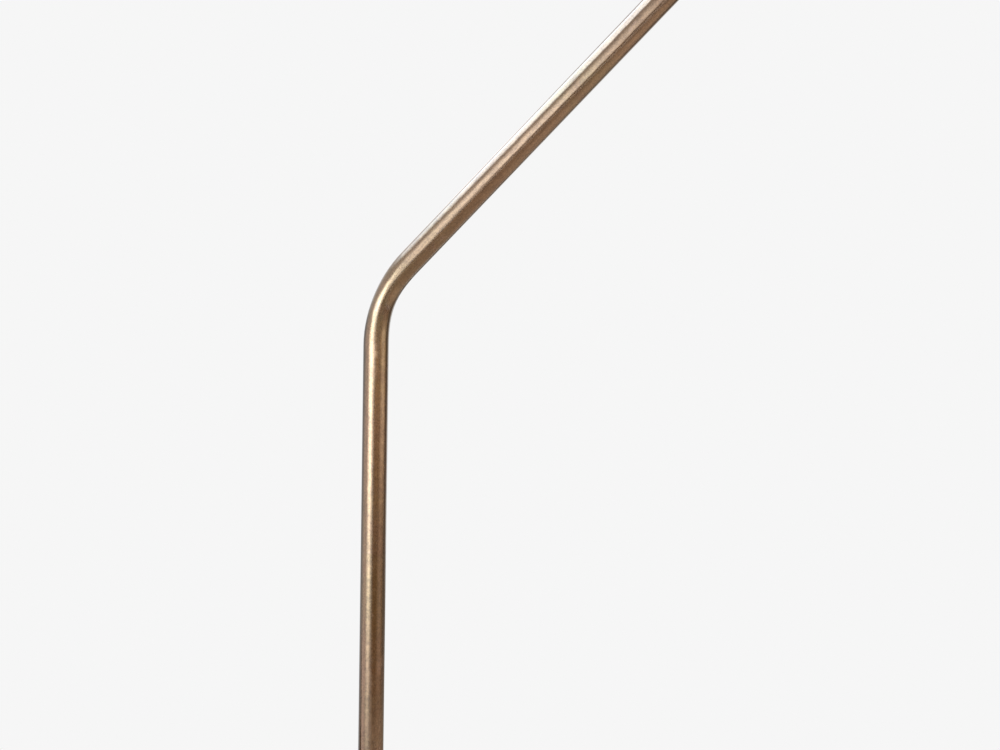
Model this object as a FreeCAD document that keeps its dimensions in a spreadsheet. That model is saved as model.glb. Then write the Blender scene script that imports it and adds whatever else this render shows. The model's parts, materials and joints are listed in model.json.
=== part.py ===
"""Double shade floor lamp in aged brass: a weighted base, two swinging bent arms and two tilting shades.

The origin is the centre of the underside of the base, +Z is up and, at rest, both arms lie in the XZ plane:
the long upper arm leans towards +X and the short lower arm towards -X. Millimetres and degrees.
"""

import FreeCAD, Part
import math
import os
import Sketcher

Vector = FreeCAD.Vector

# Driving dimensions, in millimetres and degrees
DIMENSIONS = {
    # Fits between pieces
    "fit_gap": 0.03,
    "run_gap": 0.05,
    # The tube of both arms and its bends
    "tube_across": 12,
    "tube_wall": 1,
    "bend_radius": 55,
    "bend_angle": 45,
    "upper_corner": 1060,
    "upper_run": 540,
    "lower_reach": 80,
    "lower_run": 330,
    "lead_across": 3.8,
    "wire_hole_across": 4.6,
    # Base
    "base_across": 280,
    "cover_skin": 1.2,
    "cover_lift": 1,
    "cover_skirt": 12,
    "cover_shoulder": 9,
    "cover_slope": 4,
    "felt_thick": 2,
    "weight_thick": 16,
    "weight_margin": 6,
    "recess_across": 50,
    "recess_deep": 10,
    "boss_across": 40,
    "channel_wide": 9,
    # Inlet for the mains lead
    "inlet_up": 7.5,
    "inlet_across": 6.6,
    "bush_wall": 1.1,
    "bush_flange": 1.1,
    "bush_flange_thick": 1.6,
    "bush_seat": 0.3,
    # Flange, nipple and nut at the foot of the stem
    "foot_across": 44,
    "foot_rim": 3,
    "foot_high": 22,
    "foot_neck_across": 23,
    "foot_bead": 2,
    "foot_socket": 15,
    "nipple_across": 10,
    "nipple_bore": 5.4,
    "nipple_tail": 1.5,
    "nut_flats": 17,
    "nut_thick": 6,
    "washer_across": 28,
    "washer_thick": 1.5,
    # Stem and hub
    "stem_across": 16,
    "stem_wall": 1.5,
    "stem_lead_across": 4.4,
    "hub_foot": 560,
    "hub_skirt_across": 24,
    "hub_skirt": 24,
    "hub_socket": 22,
    "hub_web": 6,
    "hub_web_bore": 10,
    "shoulder_across": 34,
    "shoulder_thick": 6,
    "swing_washer_thick": 0.5,
    "collar_high": 22,
    "collar_journal_across": 24,
    "cap_high": 10,
    "cap_thread_across": 23,
    "housing_across": 22,
    "housing_high": 27,
    "housing_bead": 1.5,
    "housing_bead_high": 6,
    "window_across": 5.2,
    "gallery_deep": 1.35,
    "collar_boss_across": 18,
    "collar_boss_reach": 34,
    "collar_socket": 16,
    # Journal at the foot of the upper arm
    "journal_across": 16,
    "journal_long": 33,
    "journal_flange_across": 25,
    "journal_flange": 5,
    "journal_ledge": 3,
    "journal_ledge_bore": 9,
    # Grub screws that run in part grooves, hold each turning piece and stop it
    "swing_angle": 150,
    "turn_angle": 140,
    "swing_screw_across": 4,
    "turn_screw_across": 3,
    "groove_deep": 1,
    "groove_slack": 0.1,
    "groove_spare": 1,
    "swing_screw_up": 12,
    "collar_screw_up": 5,
    "screw_slot": 0.6,
    "screw_slot_deep": 0.8,
    # Ferrule and swivel at the end of each arm
    "ferrule_across": 15,
    "ferrule_long": 16,
    "ferrule_plug": 14,
    "ferrule_floor": 1,
    "ferrule_edge": 0.8,
    "spigot_across": 9,
    "spigot_long": 14.5,
    "turn_screw_up": 9,
    "yoke_shoulder": 3,
    "yoke_cone": 2.5,
    "neck_across": 10,
    "neck_stand": 12,
    "pivot_reach": 34,
    "lap_across": 18,
    "lap_thick": 6,
    "lap_edge": 0.6,
    "web_wide": 8,
    "wire_exit_across": 3.6,
    # Tilt screw, nut and washers
    "pivot_across": 5,
    "pivot_washer_across": 14,
    "pivot_washer_thick": 0.8,
    "screw_head_across": 12,
    "screw_head_high": 3,
    "pivot_nut_across": 11,
    "pivot_nut_high": 7,
    "pivot_nut_skirt": 3,
    # Knuckle and cup over the lamp holder
    "rest_tilt": 20,
    "knuckle_neck_end": 30,
    "knuckle_flange_across": 16,
    "knuckle_flange": 2,
    "knuckle_thread": 9,
    "cup_across": 48,
    "cup_high": 60,
    "cup_crown": 8,
    "cup_round": 15,
    "cup_wall": 2.5,
    "cup_lip_wall": 1.5,
    "cup_lip": 5,
    "cup_bead": 0.8,
    "cup_bead_up": 8,
    # Lamp holder, its contacts and the ring that clamps the shade
    "holder_drop": 30,
    "holder_body_across": 34,
    "holder_neck_across": 36,
    "holder_neck": 13,
    "holder_bore": 28,
    "holder_floor": 12,
    "shell_wall": 0.45,
    "shell_start": 3.5,
    "shell_long": 26,
    "contact_across": 10,
    "contact_thick": 1.5,
    "ring_across": 46,
    "ring_high": 5,
    # Shade
    "shade_across": 210,
    "shade_skin": 0.8,
    "crown_across": 52,
    "shade_shoulder": 60,
    "shade_flare": 20,
    "rim_bead": 3.2,
    "vent_across": 5,
    "vent_circle": 66,
    "vent_count": 12,
    # Bulb
    "bulb_across": 60,
    "bulb_long": 105,
    "bulb_cap_across": 26.4,
    "bulb_cap_long": 27,
    "bulb_tip_across": 9,
    "bulb_tip": 1.5,
    "bulb_neck_across": 25,
    "bulb_neck_in": 10,
    "bulb_cone": 25,
    "bulb_skin": 1,
    "bulb_cap_skin": 0.6,
    # Rotary switch and its knob
    "switch_drop": 20,
    "switch_wide": 13,
    "switch_high": 12,
    "switch_front": 17.5,
    "switch_deep": 11,
    "bushing_across": 8,
    "bushing_end": 29.8,
    "pad_across": 15,
    "pad_front": 25.5,
    "pad_root": 20.5,
    "switch_nut_flats": 11,
    "switch_nut_thick": 2.5,
    "knob_across": 17,
    "knob_start": 28.6,
    "knob_long": 13,
    "knob_hollow": 2.4,
    "knob_slack": 0.6,
    "knob_edge": 1.2,
    "spindle_across": 4,
    "spindle_start": 11,
    "knurl_across": 1.4,
    "knurl_count": 24,
}


class Size:
    """A length or an angle: its number now, and the expression that keeps it tied to the sheet."""

    def __init__(self, value, text=None):
        self.value = float(value)
        self.text = text if text is not None else repr(value)

    def __add__(self, other):
        other = as_size(other)
        return Size(self.value + other.value, "(%s + %s)" % (self.text, other.text))

    def __radd__(self, other):
        return as_size(other) + self

    def __sub__(self, other):
        other = as_size(other)
        return Size(self.value - other.value, "(%s - %s)" % (self.text, other.text))

    def __rsub__(self, other):
        return as_size(other) - self

    def __mul__(self, other):
        other = as_size(other)
        return Size(self.value * other.value, "(%s * %s)" % (self.text, other.text))

    def __rmul__(self, other):
        return as_size(other) * self

    def __truediv__(self, other):
        other = as_size(other)
        return Size(self.value / other.value, "(%s / %s)" % (self.text, other.text))

    def __neg__(self):
        return Size(-self.value, "(0 - %s)" % self.text)


def as_size(item):
    """A Size, made from a plain number where it isn't one yet."""
    return item if isinstance(item, Size) else Size(item)


def sine(angle):
    """The sine of an angle in degrees."""
    return Size(math.sin(math.radians(angle.value)), "sin(%s)" % angle.text)


def cosine(angle):
    """The cosine of an angle in degrees."""
    return Size(math.cos(math.radians(angle.value)), "cos(%s)" % angle.text)


def tangent(angle):
    """The tangent of an angle in degrees."""
    return Size(math.tan(math.radians(angle.value)), "tan(%s)" % angle.text)


def angle_of_sine(ratio):
    """The angle in degrees whose sine is this ratio."""
    return Size(math.degrees(math.asin(ratio.value)), "(asin(%s) / 1 deg)" % ratio.text)


class Dimensions:
    """The driving dimensions by name, each a Size tied to its cell of the sheet."""

    def __init__(self, sheet, table):
        for row, (name, number) in enumerate(table.items(), start=1):
            cell = "B%d" % row
            sheet.set("A%d" % row, name.replace("_", " "))
            sheet.set(cell, str(number))
            sheet.setAlias(cell, name)
            setattr(self, name, Size(number, "%s.%s" % (sheet.Label, name)))


doc = FreeCAD.newDocument("DoubleShadeFloorLamp")
sheet = doc.addObject("Spreadsheet::Sheet", "Sizes")
d = Dimensions(sheet, DIMENSIONS)
doc.recompute()


def tie(item, path, size):
    """Sets a property of an object to a Size, by an expression where the Size comes from the sheet."""
    size = as_size(size)
    if sheet.Label in size.text:
        item.setExpression(path, size.text)
    else:
        item.setExpression(path, repr(size.value))


class Place:
    """Where a piece stands: its origin, its lean about Y, then its heading about Z."""

    def __init__(self, across=0, along=0, up=0, heading=0, lean=0):
        self.parts = [as_size(item) for item in (across, along, up, heading, lean)]

    def text(self):
        """The placement as an expression of the sheet."""
        texts = tuple(part.text for part in self.parts)
        spot = "create(<<vector>>; %s; %s; %s)" % texts[:3]
        turn = "create(<<rotation>>; %s; %s; 0)" % texts[3:]
        return "create(<<placement>>; %s; %s)" % (spot, turn)


class Piece:
    """One sub-part: a body whose sketches and features are tied to the sheet.

    Sketch planes: XY looks down from +Z, XZ is seen from the front (its depth runs towards -Y), and YZ has
    its depth towards +X. Shapes are turned about an axis of their sketch.
    """

    made = []

    def __init__(self, label, place=None):
        self.label = label
        self.body = doc.addObject("PartDesign::Body", label)
        self.body.Label = label
        self.body.AllowCompound = True
        self.place = place or Place()
        self.count = 0
        Piece.made.append(self)

    def name(self, kind):
        """A new name for a feature or sketch of this piece."""
        self.count += 1
        return "%s_%s_%d" % (self.label, kind, self.count)

    def sketch(self, plane, depth=0, shift=(0, 0)):
        """A sketch on one of the body's own planes, moved by a depth and a shift within the plane."""
        planes = [item for item in self.body.Origin.OriginFeatures if item.Role == plane + "_Plane"]
        sketch = self.body.newObject("Sketcher::SketchObject", self.name("sketch"))
        sketch.AttachmentSupport = [(planes[0], "")]
        sketch.MapMode = "FlatFace"
        offsets = [as_size(item) for item in (shift[0], shift[1], depth)]
        spot = Vector(*[item.value for item in offsets])
        sketch.AttachmentOffset = FreeCAD.Placement(spot, FreeCAD.Rotation())
        for axis, item in zip("xyz", offsets):
            if item.value:
                tie(sketch, "AttachmentOffset.Base." + axis, item)
        return sketch

    def volume(self):
        """The piece's volume as built so far."""
        doc.recompute()
        return self.body.Shape.Volume

    def check_cut(self, before):
        """Raises if the last feature took nothing away."""
        if self.volume() > before - 1e-3:
            raise RuntimeError("a cut of %s removes nothing" % self.label)

    def turn(self, *loops, plane="XZ", axis="V_Axis", shift=(0, 0)):
        """Adds one or more separate loops turned once about an axis of their sketch."""
        sketch = self.sketch(plane, 0, shift)
        for loop in loops:
            draw_loop(sketch, loop)
        feature = self.body.newObject("PartDesign::Revolution", self.name("turned"))
        feature.Profile = sketch
        feature.ReferenceAxis = (sketch, [axis])
        feature.Angle = 360
        return feature

    def groove(self, loop, angle=360, plane="XZ", axis="V_Axis", shift=(0, 0)):
        """Cuts a loop turned by an angle, half of it to each side of its sketch."""
        before = self.volume()
        sketch = self.sketch(plane, 0, shift)
        draw_loop(sketch, loop)
        feature = self.body.newObject("PartDesign::Groove", self.name("groove"))
        feature.Profile = sketch
        feature.ReferenceAxis = (sketch, [axis])
        feature.Midplane = True
        tie(feature, "Angle", angle)
        self.check_cut(before)
        return feature

    def pad(self, outline, plane, depth, long, shift=(0, 0)):
        """Adds an outline drawn at a depth of its plane and carried on by a length."""
        sketch = self.sketch(plane, depth, shift)
        outline(sketch)
        feature = self.body.newObject("PartDesign::Pad", self.name("pad"))
        feature.Profile = sketch
        tie(feature, "Length", long)
        return feature

    def pocket(self, outline, plane, depth, long, shift=(0, 0)):
        """Cuts an outline drawn at a depth of its plane and carried on by a length."""
        before = self.volume()
        sketch = self.sketch(plane, depth, shift)
        outline(sketch)
        feature = self.body.newObject("PartDesign::Pocket", self.name("pocket"))
        feature.Profile = sketch
        feature.Reversed = True
        tie(feature, "Length", long)
        self.check_cut(before)
        return feature

    def around(self, feature, count, axis="Z_Axis", sketch_axis=None):
        """Repeats a feature evenly about an axis of the body or of the feature's own sketch."""
        pattern = self.body.newObject("PartDesign::PolarPattern", self.name("around"))
        pattern.Originals = [feature]
        if sketch_axis:
            pattern.Axis = (feature.Profile[0], [sketch_axis])
        else:
            axes = [item for item in self.body.Origin.OriginFeatures if item.Role == axis]
            pattern.Axis = (axes[0], [""])
        pattern.Angle = 360
        pattern.setExpression("Occurrences", count.text)
        self.body.Tip = pattern
        return pattern

    def pipe(self, route, across, bore=None):
        """Adds a round bar or tube along a route that leaves its start along +Z."""
        start = route[0]
        ring = self.sketch("XY", start)
        draw_circle(ring, 0, 0, across / 2)
        if bore is not None:
            draw_circle(ring, 0, 0, bore / 2)
        path = self.sketch("XZ")
        edges = draw_bent_path(path, *route)
        feature = self.body.newObject("PartDesign::AdditivePipe", self.name("pipe"))
        feature.Profile = ring
        feature.Spine = (path, edges)
        return feature

    def finish(self):
        """Ties the piece's placement."""
        self.body.setExpression("Placement", self.place.text())


def pin_point(sketch, index, end, across, up):
    """Ties one end point of a sketch's geometry to a place measured from the sketch's origin."""
    for kind, size, axis in (("DistanceX", across, -2), ("DistanceY", up, -1)):
        size = as_size(size)
        if size.text in ("0", "0.0"):
            sketch.addConstraint(Sketcher.Constraint("PointOnObject", index, end, axis))
        else:
            number = sketch.addConstraint(Sketcher.Constraint(kind, -1, 1, index, end, size.value))
            tie(sketch, "Constraints[%d]" % number, size)


def draw_circle(sketch, across, up, radius):
    """Draws a circle tied by its centre and radius."""
    across, up, radius = as_size(across), as_size(up), as_size(radius)
    centre = Vector(across.value, up.value, 0)
    index = sketch.addGeometry(Part.Circle(centre, Vector(0, 0, 1), radius.value), False)
    pin_point(sketch, index, 3, across, up)
    number = sketch.addConstraint(Sketcher.Constraint("Radius", index, radius.value))
    tie(sketch, "Constraints[%d]" % number, radius)


def arc_between(start, end, bend):
    """The arc of less than half a turn from start to end; a positive bend radius turns left."""
    radius = abs(bend)
    chord = end - start
    half = chord.Length / 2
    side = math.copysign(1, bend)
    left = Vector(-chord.y, chord.x, 0).normalize() * side
    centre = start + chord * 0.5 + left * math.sqrt(max(radius * radius - half * half, 0))
    return Part.Arc(start, centre - left * radius, end)


def draw_loop(sketch, corners):
    """Draws a closed outline through corners (across, up) or (across, up, bend).

    The side that arrives at a corner with a bend is an arc of that radius, positive where it turns left.
    """
    corners = [tuple(as_size(item) for item in corner) for corner in corners]
    points = [Vector(corner[0].value, corner[1].value, 0) for corner in corners]
    starts, ends = [], []
    for number, corner in enumerate(corners[1:] + corners[:1], start=1):
        start, end = points[number - 1], points[number % len(points)]
        if len(corner) > 2:
            index = sketch.addGeometry(arc_between(start, end, corner[2].value), False)
            first = sketch.getPoint(index, 1)
            forward = first.distanceToPoint(start) < first.distanceToPoint(end)
            radius = corner[2] if corner[2].value > 0 else -corner[2]
            constraint = sketch.addConstraint(Sketcher.Constraint("Radius", index, radius.value))
            tie(sketch, "Constraints[%d]" % constraint, radius)
        else:
            index = sketch.addGeometry(Part.LineSegment(start, end), False)
            forward = True
        starts.append((index, 1 if forward else 2))
        ends.append((index, 2 if forward else 1))
    for number, corner in enumerate(corners):
        sketch.addConstraint(Sketcher.Constraint("Coincident", *ends[number - 1], *starts[number]))
        pin_point(sketch, *starts[number], corner[0], corner[1])


def draw_bent_path(sketch, start, corner, run, radius, angle):
    """Draws a path up from start, round a bend towards +X, and on to run past the corner of its two lines."""
    setback = radius * tangent(angle / 2)
    straight_end = corner - setback
    bend_end = (setback * sine(angle), corner + setback * cosine(angle))
    far_end = (run * sine(angle), corner + run * cosine(angle))
    stops = [(Size(0), start), (Size(0), straight_end), bend_end, far_end]
    points = [Vector(across.value, up.value, 0) for across, up in stops]
    sketch.addGeometry(Part.LineSegment(points[0], points[1]), False)
    sketch.addGeometry(arc_between(points[1], points[2], -radius.value), False)
    sketch.addGeometry(Part.LineSegment(points[2], points[3]), False)
    sketch.addConstraint(Sketcher.Constraint("Coincident", 0, 2, 1, 2))
    sketch.addConstraint(Sketcher.Constraint("Coincident", 1, 1, 2, 1))
    number = sketch.addConstraint(Sketcher.Constraint("Radius", 1, radius.value))
    tie(sketch, "Constraints[%d]" % number, radius)
    for index, end, stop in ((0, 1, 0), (0, 2, 1), (2, 1, 2), (2, 2, 3)):
        pin_point(sketch, index, end, *stops[stop])
    return ["Edge1", "Edge2", "Edge3"]


def box(across, up, wide, high):
    """An upright rectangle around a centre."""
    def draw(sketch):
        draw_loop(sketch, [
            (across - wide / 2, up - high / 2),
            (across + wide / 2, up - high / 2),
            (across + wide / 2, up + high / 2),
            (across - wide / 2, up + high / 2),
        ])
    return draw


def disc(across, up, radius):
    """A circle around a centre."""
    def draw(sketch):
        draw_circle(sketch, across, up, radius)
    return draw


def hexagon(flats, hole):
    """A hexagon by its width across flats, with a round hole."""
    def draw(sketch):
        corner = flats / 2 / cosine(Size(30))
        draw_loop(sketch, [(corner * cosine(Size(60 * k)), corner * sine(Size(60 * k))) for k in range(6)])
        draw_circle(sketch, 0, 0, hole)
    return draw


def tube_section(inner, outer, low, high):
    """The section of a plain ring about an upright axis."""
    return [(inner, low), (outer, low), (outer, high), (inner, high)]


# How full some turned arcs are, as a share of a length beside each of them
COVE_FULLNESS = 1.25
BEAD_FULLNESS = 1.1
HEAD_SKIRT = 0.45

# Levels and radii that several pieces share
cover_radius = d.base_across / 2
skirt_top = d.cover_lift + d.cover_skirt
shoulder_centre = cover_radius - d.cover_shoulder
slope_start = (shoulder_centre + d.cover_shoulder * sine(d.cover_slope),
               skirt_top + d.cover_shoulder * cosine(d.cover_slope))
foot_radius = d.foot_across / 2
cover_top = slope_start[1] + (slope_start[0] - foot_radius) * tangent(d.cover_slope)
weight_radius = cover_radius - d.cover_skin - d.weight_margin
weight_top = d.felt_thick + d.weight_thick
recess_top = d.felt_thick + d.recess_deep
nipple_radius = d.nipple_across / 2
nipple_hole = nipple_radius + d.fit_gap
stem_radius = d.stem_across / 2
stem_start = cover_top + d.foot_high - d.foot_socket
stem_end = d.hub_foot + d.hub_socket
tube_radius = d.tube_across / 2
tube_socket = tube_radius + d.fit_gap
tube_bore = tube_radius - d.tube_wall
shoulder_top = d.hub_foot + d.hub_skirt + d.shoulder_thick
collar_foot = shoulder_top + d.swing_washer_thick
collar_middle = collar_foot + d.collar_high / 2
collar_top = collar_foot + d.collar_high
cap_foot = collar_top + d.swing_washer_thick
cap_top = cap_foot + d.cap_high
hub_top = cap_top + d.housing_high
journal_radius = d.journal_across / 2
journal_foot = hub_top - d.journal_long
upper_start = journal_foot + d.journal_ledge
collar_journal_radius = d.collar_journal_across / 2
lower_start = d.collar_boss_reach - d.collar_socket
swing_screw_radius = d.swing_screw_across / 2
turn_screw_radius = d.turn_screw_across / 2
wire_hole = d.wire_hole_across / 2


def dome_radius(radius, rise):
    """The radius of the ball that a dome of this radius and rise is cut from."""
    return (radius * radius + rise * rise) / (rise * 2)


def stop_groove(piece, radius, level, screw_radius, reach):
    """Cuts the part groove that a grub screw runs in, which stops the piece at the reach to each side."""
    floor = radius - d.groove_deep
    half = screw_radius + d.groove_slack
    outside = radius + d.groove_deep
    angle = (reach + angle_of_sine(screw_radius / floor) + d.groove_spare) * 2
    piece.groove(
        [(-floor, level - half), (-floor, level + half), (-outside, level + half), (-outside, level - half)],
        angle, "YZ")


def slot_head(piece, plane, depth, screw_across, level=Size(0)):
    """Cuts a screwdriver slot into the head of a grub screw that ends at this depth."""
    slot = box(Size(0), level, d.screw_slot, screw_across * 2)
    piece.pocket(slot, plane, depth - d.screw_slot_deep, d.screw_slot_deep)


# Base

felt = Piece("base_felt")
felt.turn(tube_section(Size(0), weight_radius, Size(0), d.felt_thick))

weight = Piece("base_weight")
weight_boss_top = cover_top - d.cover_skin
weight.turn([
    (nipple_hole, recess_top),
    (d.recess_across / 2, recess_top),
    (d.recess_across / 2, d.felt_thick),
    (weight_radius, d.felt_thick),
    (weight_radius, weight_top),
    (d.boss_across / 2, weight_top),
    (d.boss_across / 2, weight_boss_top),
    (nipple_hole, weight_boss_top),
])
weight.pocket(
    box(Size(0), d.felt_thick + d.recess_deep / 2, d.channel_wide, d.recess_deep),
    "XZ", -weight_radius, weight_radius - nipple_radius - d.recess_across / 4)

cover = Piece("base_cover")
inner_shoulder = d.cover_shoulder - d.cover_skin
inner_slope = (shoulder_centre + inner_shoulder * sine(d.cover_slope),
               skirt_top + inner_shoulder * cosine(d.cover_slope))
inner_flat_top = cover_top - d.cover_skin
inner_flat = inner_slope[0] - (inner_flat_top - inner_slope[1]) / tangent(d.cover_slope)
cover.turn([
    (cover_radius - d.cover_skin, d.cover_lift),
    (cover_radius, d.cover_lift),
    (cover_radius, skirt_top),
    (slope_start[0], slope_start[1], d.cover_shoulder),
    (foot_radius, cover_top),
    (nipple_hole, cover_top),
    (nipple_hole, inner_flat_top),
    (inner_flat, inner_flat_top),
    inner_slope,
    (cover_radius - d.cover_skin, skirt_top, -inner_shoulder),
])
bush_neck = d.inlet_across / 2 + d.bush_wall
cover.pocket(disc(Size(0), d.inlet_up, bush_neck + d.fit_gap), "XZ", -cover_radius, d.cover_shoulder)

bush = Piece("cord_bush", Place(up=d.inlet_up, heading=90, lean=90))
bush_inner = cover_radius - d.cover_skin - d.bush_seat
bush_outer = cover_radius + d.bush_seat / 2
bush.turn([
    (d.inlet_across / 2, bush_inner - d.bush_flange_thick),
    (bush_neck + d.bush_flange, bush_inner - d.bush_flange_thick),
    (bush_neck + d.bush_flange, bush_inner),
    (bush_neck, bush_inner),
    (bush_neck, bush_outer),
    (bush_neck + d.bush_flange, bush_outer),
    (bush_neck + d.bush_flange / 2, bush_outer + d.bush_flange_thick),
    (d.inlet_across / 2, bush_outer + d.bush_flange_thick),
])

flange = Piece("stem_flange")
foot_neck = d.foot_neck_across / 2
foot_cove_top = cover_top + d.foot_high - d.foot_bead * 2
cove_rise = foot_cove_top - cover_top - d.foot_rim
flange.turn([
    (nipple_hole, cover_top),
    (foot_radius, cover_top),
    (foot_radius, cover_top + d.foot_rim),
    (foot_neck, foot_cove_top, -cove_rise * COVE_FULLNESS),
    (foot_neck, foot_cove_top + d.foot_bead * 2, d.foot_bead * BEAD_FULLNESS),
    (stem_radius + d.fit_gap, cover_top + d.foot_high),
    (stem_radius + d.fit_gap, stem_start),
    (nipple_hole, stem_start),
])

nipple = Piece("stem_nipple")
nut_foot = recess_top - d.washer_thick - d.nut_thick
nipple.turn(tube_section(d.nipple_bore / 2, nipple_radius, nut_foot - d.nipple_tail, stem_start))

washer = Piece("base_washer")
washer.turn(tube_section(nipple_hole, d.washer_across / 2, recess_top - d.washer_thick, recess_top))

nut = Piece("base_nut")
nut.pad(hexagon(d.nut_flats, nipple_hole), "XY", nut_foot, d.nut_thick)

# Stem and hub

stem = Piece("lower_stem")
stem.turn(tube_section(stem_radius - d.stem_wall, stem_radius, stem_start, stem_end))

stem_lead = Piece("stem_lead")
stem_lead.turn(tube_section(Size(0), d.stem_lead_across / 2, nut_foot - d.nipple_tail, collar_middle))

hub = Piece("hub_body")
hub_chamber = stem_end + d.hub_web
housing_radius = d.housing_across / 2
hub.turn([
    (stem_radius + d.fit_gap, d.hub_foot),
    (d.hub_skirt_across / 2, d.hub_foot),
    (d.hub_skirt_across / 2, d.hub_foot + d.hub_skirt - d.foot_bead),
    (d.shoulder_across / 2, d.hub_foot + d.hub_skirt),
    (d.shoulder_across / 2, shoulder_top),
    (collar_journal_radius, shoulder_top),
    (collar_journal_radius, cap_foot),
    (d.cap_thread_across / 2, cap_foot),
    (d.cap_thread_across / 2, cap_top),
    (housing_radius, cap_top),
    (housing_radius, hub_top - d.housing_bead_high),
    (housing_radius + d.housing_bead, hub_top - d.housing_bead_high + d.housing_bead),
    (housing_radius + d.housing_bead, hub_top),
    (journal_radius + d.run_gap, hub_top),
    (journal_radius + d.run_gap, hub_chamber),
    (d.hub_web_bore / 2, hub_chamber),
    (d.hub_web_bore / 2, stem_end),
    (stem_radius + d.fit_gap, stem_end),
])
collar_screw_level = collar_foot + d.collar_screw_up
swing_screw_level = cap_top + d.swing_screw_up
stop_groove(hub, collar_journal_radius, collar_screw_level, swing_screw_radius, d.swing_angle)
hub.pocket(disc(Size(0), collar_middle, d.window_across / 2), "YZ", -collar_journal_radius - d.groove_deep,
           journal_radius)
hub.pocket(disc(Size(0), swing_screw_level, swing_screw_radius + d.fit_gap), "XZ", Size(0),
           housing_radius + d.housing_bead)

swing_screw = Piece("swing_screw", Place(up=swing_screw_level, heading=-90, lean=90))
swing_screw_tip = journal_radius - d.groove_deep + d.groove_slack
swing_screw.turn(tube_section(Size(0), swing_screw_radius, swing_screw_tip, housing_radius))
slot_head(swing_screw, "XY", housing_radius, d.swing_screw_across)

washers = Piece("friction_washers")
washer_bore = collar_journal_radius + d.run_gap
washers.turn(*[
    tube_section(washer_bore, d.shoulder_across / 2, level, level + d.swing_washer_thick)
    for level in (shoulder_top, collar_top)])

cap = Piece("hub_cap")
cap_edge = d.housing_bead
cap.turn([
    (d.cap_thread_across / 2 + d.fit_gap, cap_foot),
    (d.shoulder_across / 2, cap_foot),
    (d.shoulder_across / 2, cap_top - cap_edge),
    (d.shoulder_across / 2 - cap_edge, cap_top),
    (d.cap_thread_across / 2 + d.fit_gap, cap_top),
])
cap_knurl = cap.pocket(disc(d.shoulder_across / 2, Size(0), d.knurl_across / 2), "XY",
                       cap_foot + cap_edge, d.cap_high - cap_edge * 2)
cap.around(cap_knurl, d.knurl_count * 2)

# Foot of the upper arm

journal = Piece("upper_journal")
flange_top = hub_top + d.journal_flange
journal.turn([
    (d.journal_ledge_bore / 2, journal_foot),
    (journal_radius, journal_foot),
    (journal_radius, hub_top),
    (d.journal_flange_across / 2, hub_top),
    (d.journal_flange_across / 2, flange_top - d.housing_bead * 2),
    (d.journal_flange_across / 2 - d.housing_bead * 2, flange_top, d.housing_bead * 2),
    (tube_socket, flange_top),
    (tube_socket, upper_start),
    (d.journal_ledge_bore / 2, upper_start),
])
stop_groove(journal, journal_radius, swing_screw_level, swing_screw_radius, d.swing_angle)

# Collar of the lower arm

collar = Piece("arm_collar")
collar_bore = collar_journal_radius + d.run_gap
collar.turn(tube_section(collar_bore, d.shoulder_across / 2, collar_foot, collar_top))
collar.pad(disc(Size(0), collar_middle, d.collar_boss_across / 2), "YZ", -d.collar_boss_reach,
           d.collar_boss_reach - collar_journal_radius - d.gallery_deep)
collar.groove([
    (collar_journal_radius, collar_middle - d.window_across / 2),
    (collar_bore + d.gallery_deep, collar_middle - d.window_across / 2),
    (collar_bore + d.gallery_deep, collar_middle + d.window_across / 2),
    (collar_journal_radius, collar_middle + d.window_across / 2),
])
collar.pocket(disc(Size(0), collar_middle, tube_socket), "YZ", -d.collar_boss_reach, d.collar_socket)
collar.pocket(disc(Size(0), collar_middle, wire_hole), "YZ", -d.collar_boss_reach,
              d.collar_boss_reach - collar_journal_radius)
collar.pocket(disc(Size(0), collar_screw_level, swing_screw_radius + d.fit_gap), "XZ", Size(0),
              d.shoulder_across / 2)

collar_screw = Piece("collar_screw", Place(up=collar_screw_level, heading=-90, lean=90))
collar_screw_tip = collar_journal_radius - d.groove_deep + d.groove_slack
collar_screw_end = d.shoulder_across / 2 - d.screw_slot
collar_screw.turn(tube_section(Size(0), swing_screw_radius, collar_screw_tip, collar_screw_end))
slot_head(collar_screw, "XY", collar_screw_end, d.swing_screw_across)


def arm_pieces(side, place, start, corner, run, end_place):
    """The bent tube of one arm, the lead inside it, and the ferrule and swivel screw at its end."""
    route = (start, corner, run, d.bend_radius, d.bend_angle)
    tube = Piece(side + "_tube", place)
    tube.pipe(route, d.tube_across, d.tube_across - d.tube_wall * 2)

    lead_start = start - d.journal_ledge if side == "upper" else collar_journal_radius + d.gallery_deep
    lead = Piece(side + "_lead", place)
    lead.pipe((lead_start,) + (corner, run, d.bend_radius, d.bend_angle), d.lead_across)

    ferrule_radius = d.ferrule_across / 2
    spigot_bore = d.spigot_across / 2 + d.run_gap
    ferrule = Piece(side + "_ferrule", end_place)
    ferrule.turn([
        (wire_hole, -d.ferrule_plug),
        (tube_bore - d.fit_gap, -d.ferrule_plug),
        (tube_bore - d.fit_gap, Size(0)),
        (ferrule_radius - d.ferrule_edge, Size(0)),
        (ferrule_radius, d.ferrule_edge),
        (ferrule_radius, d.ferrule_long),
        (spigot_bore, d.ferrule_long),
        (spigot_bore, d.ferrule_floor),
        (wire_hole, d.ferrule_floor),
    ])
    screw_hole = disc(Size(0), d.turn_screw_up, turn_screw_radius + d.fit_gap)
    ferrule.pocket(screw_hole, "XZ", Size(0), ferrule_radius)

    screw = Piece(side + "_swivel_screw", end_place)
    screw_tip = d.spigot_across / 2 - d.groove_deep + d.groove_slack
    screw_end = ferrule_radius - d.screw_slot
    screw.pad(disc(Size(0), d.turn_screw_up, turn_screw_radius), "XZ", screw_tip, screw_end - screw_tip)
    slot_head(screw, "XZ", screw_end, d.turn_screw_across, d.turn_screw_up)


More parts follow.
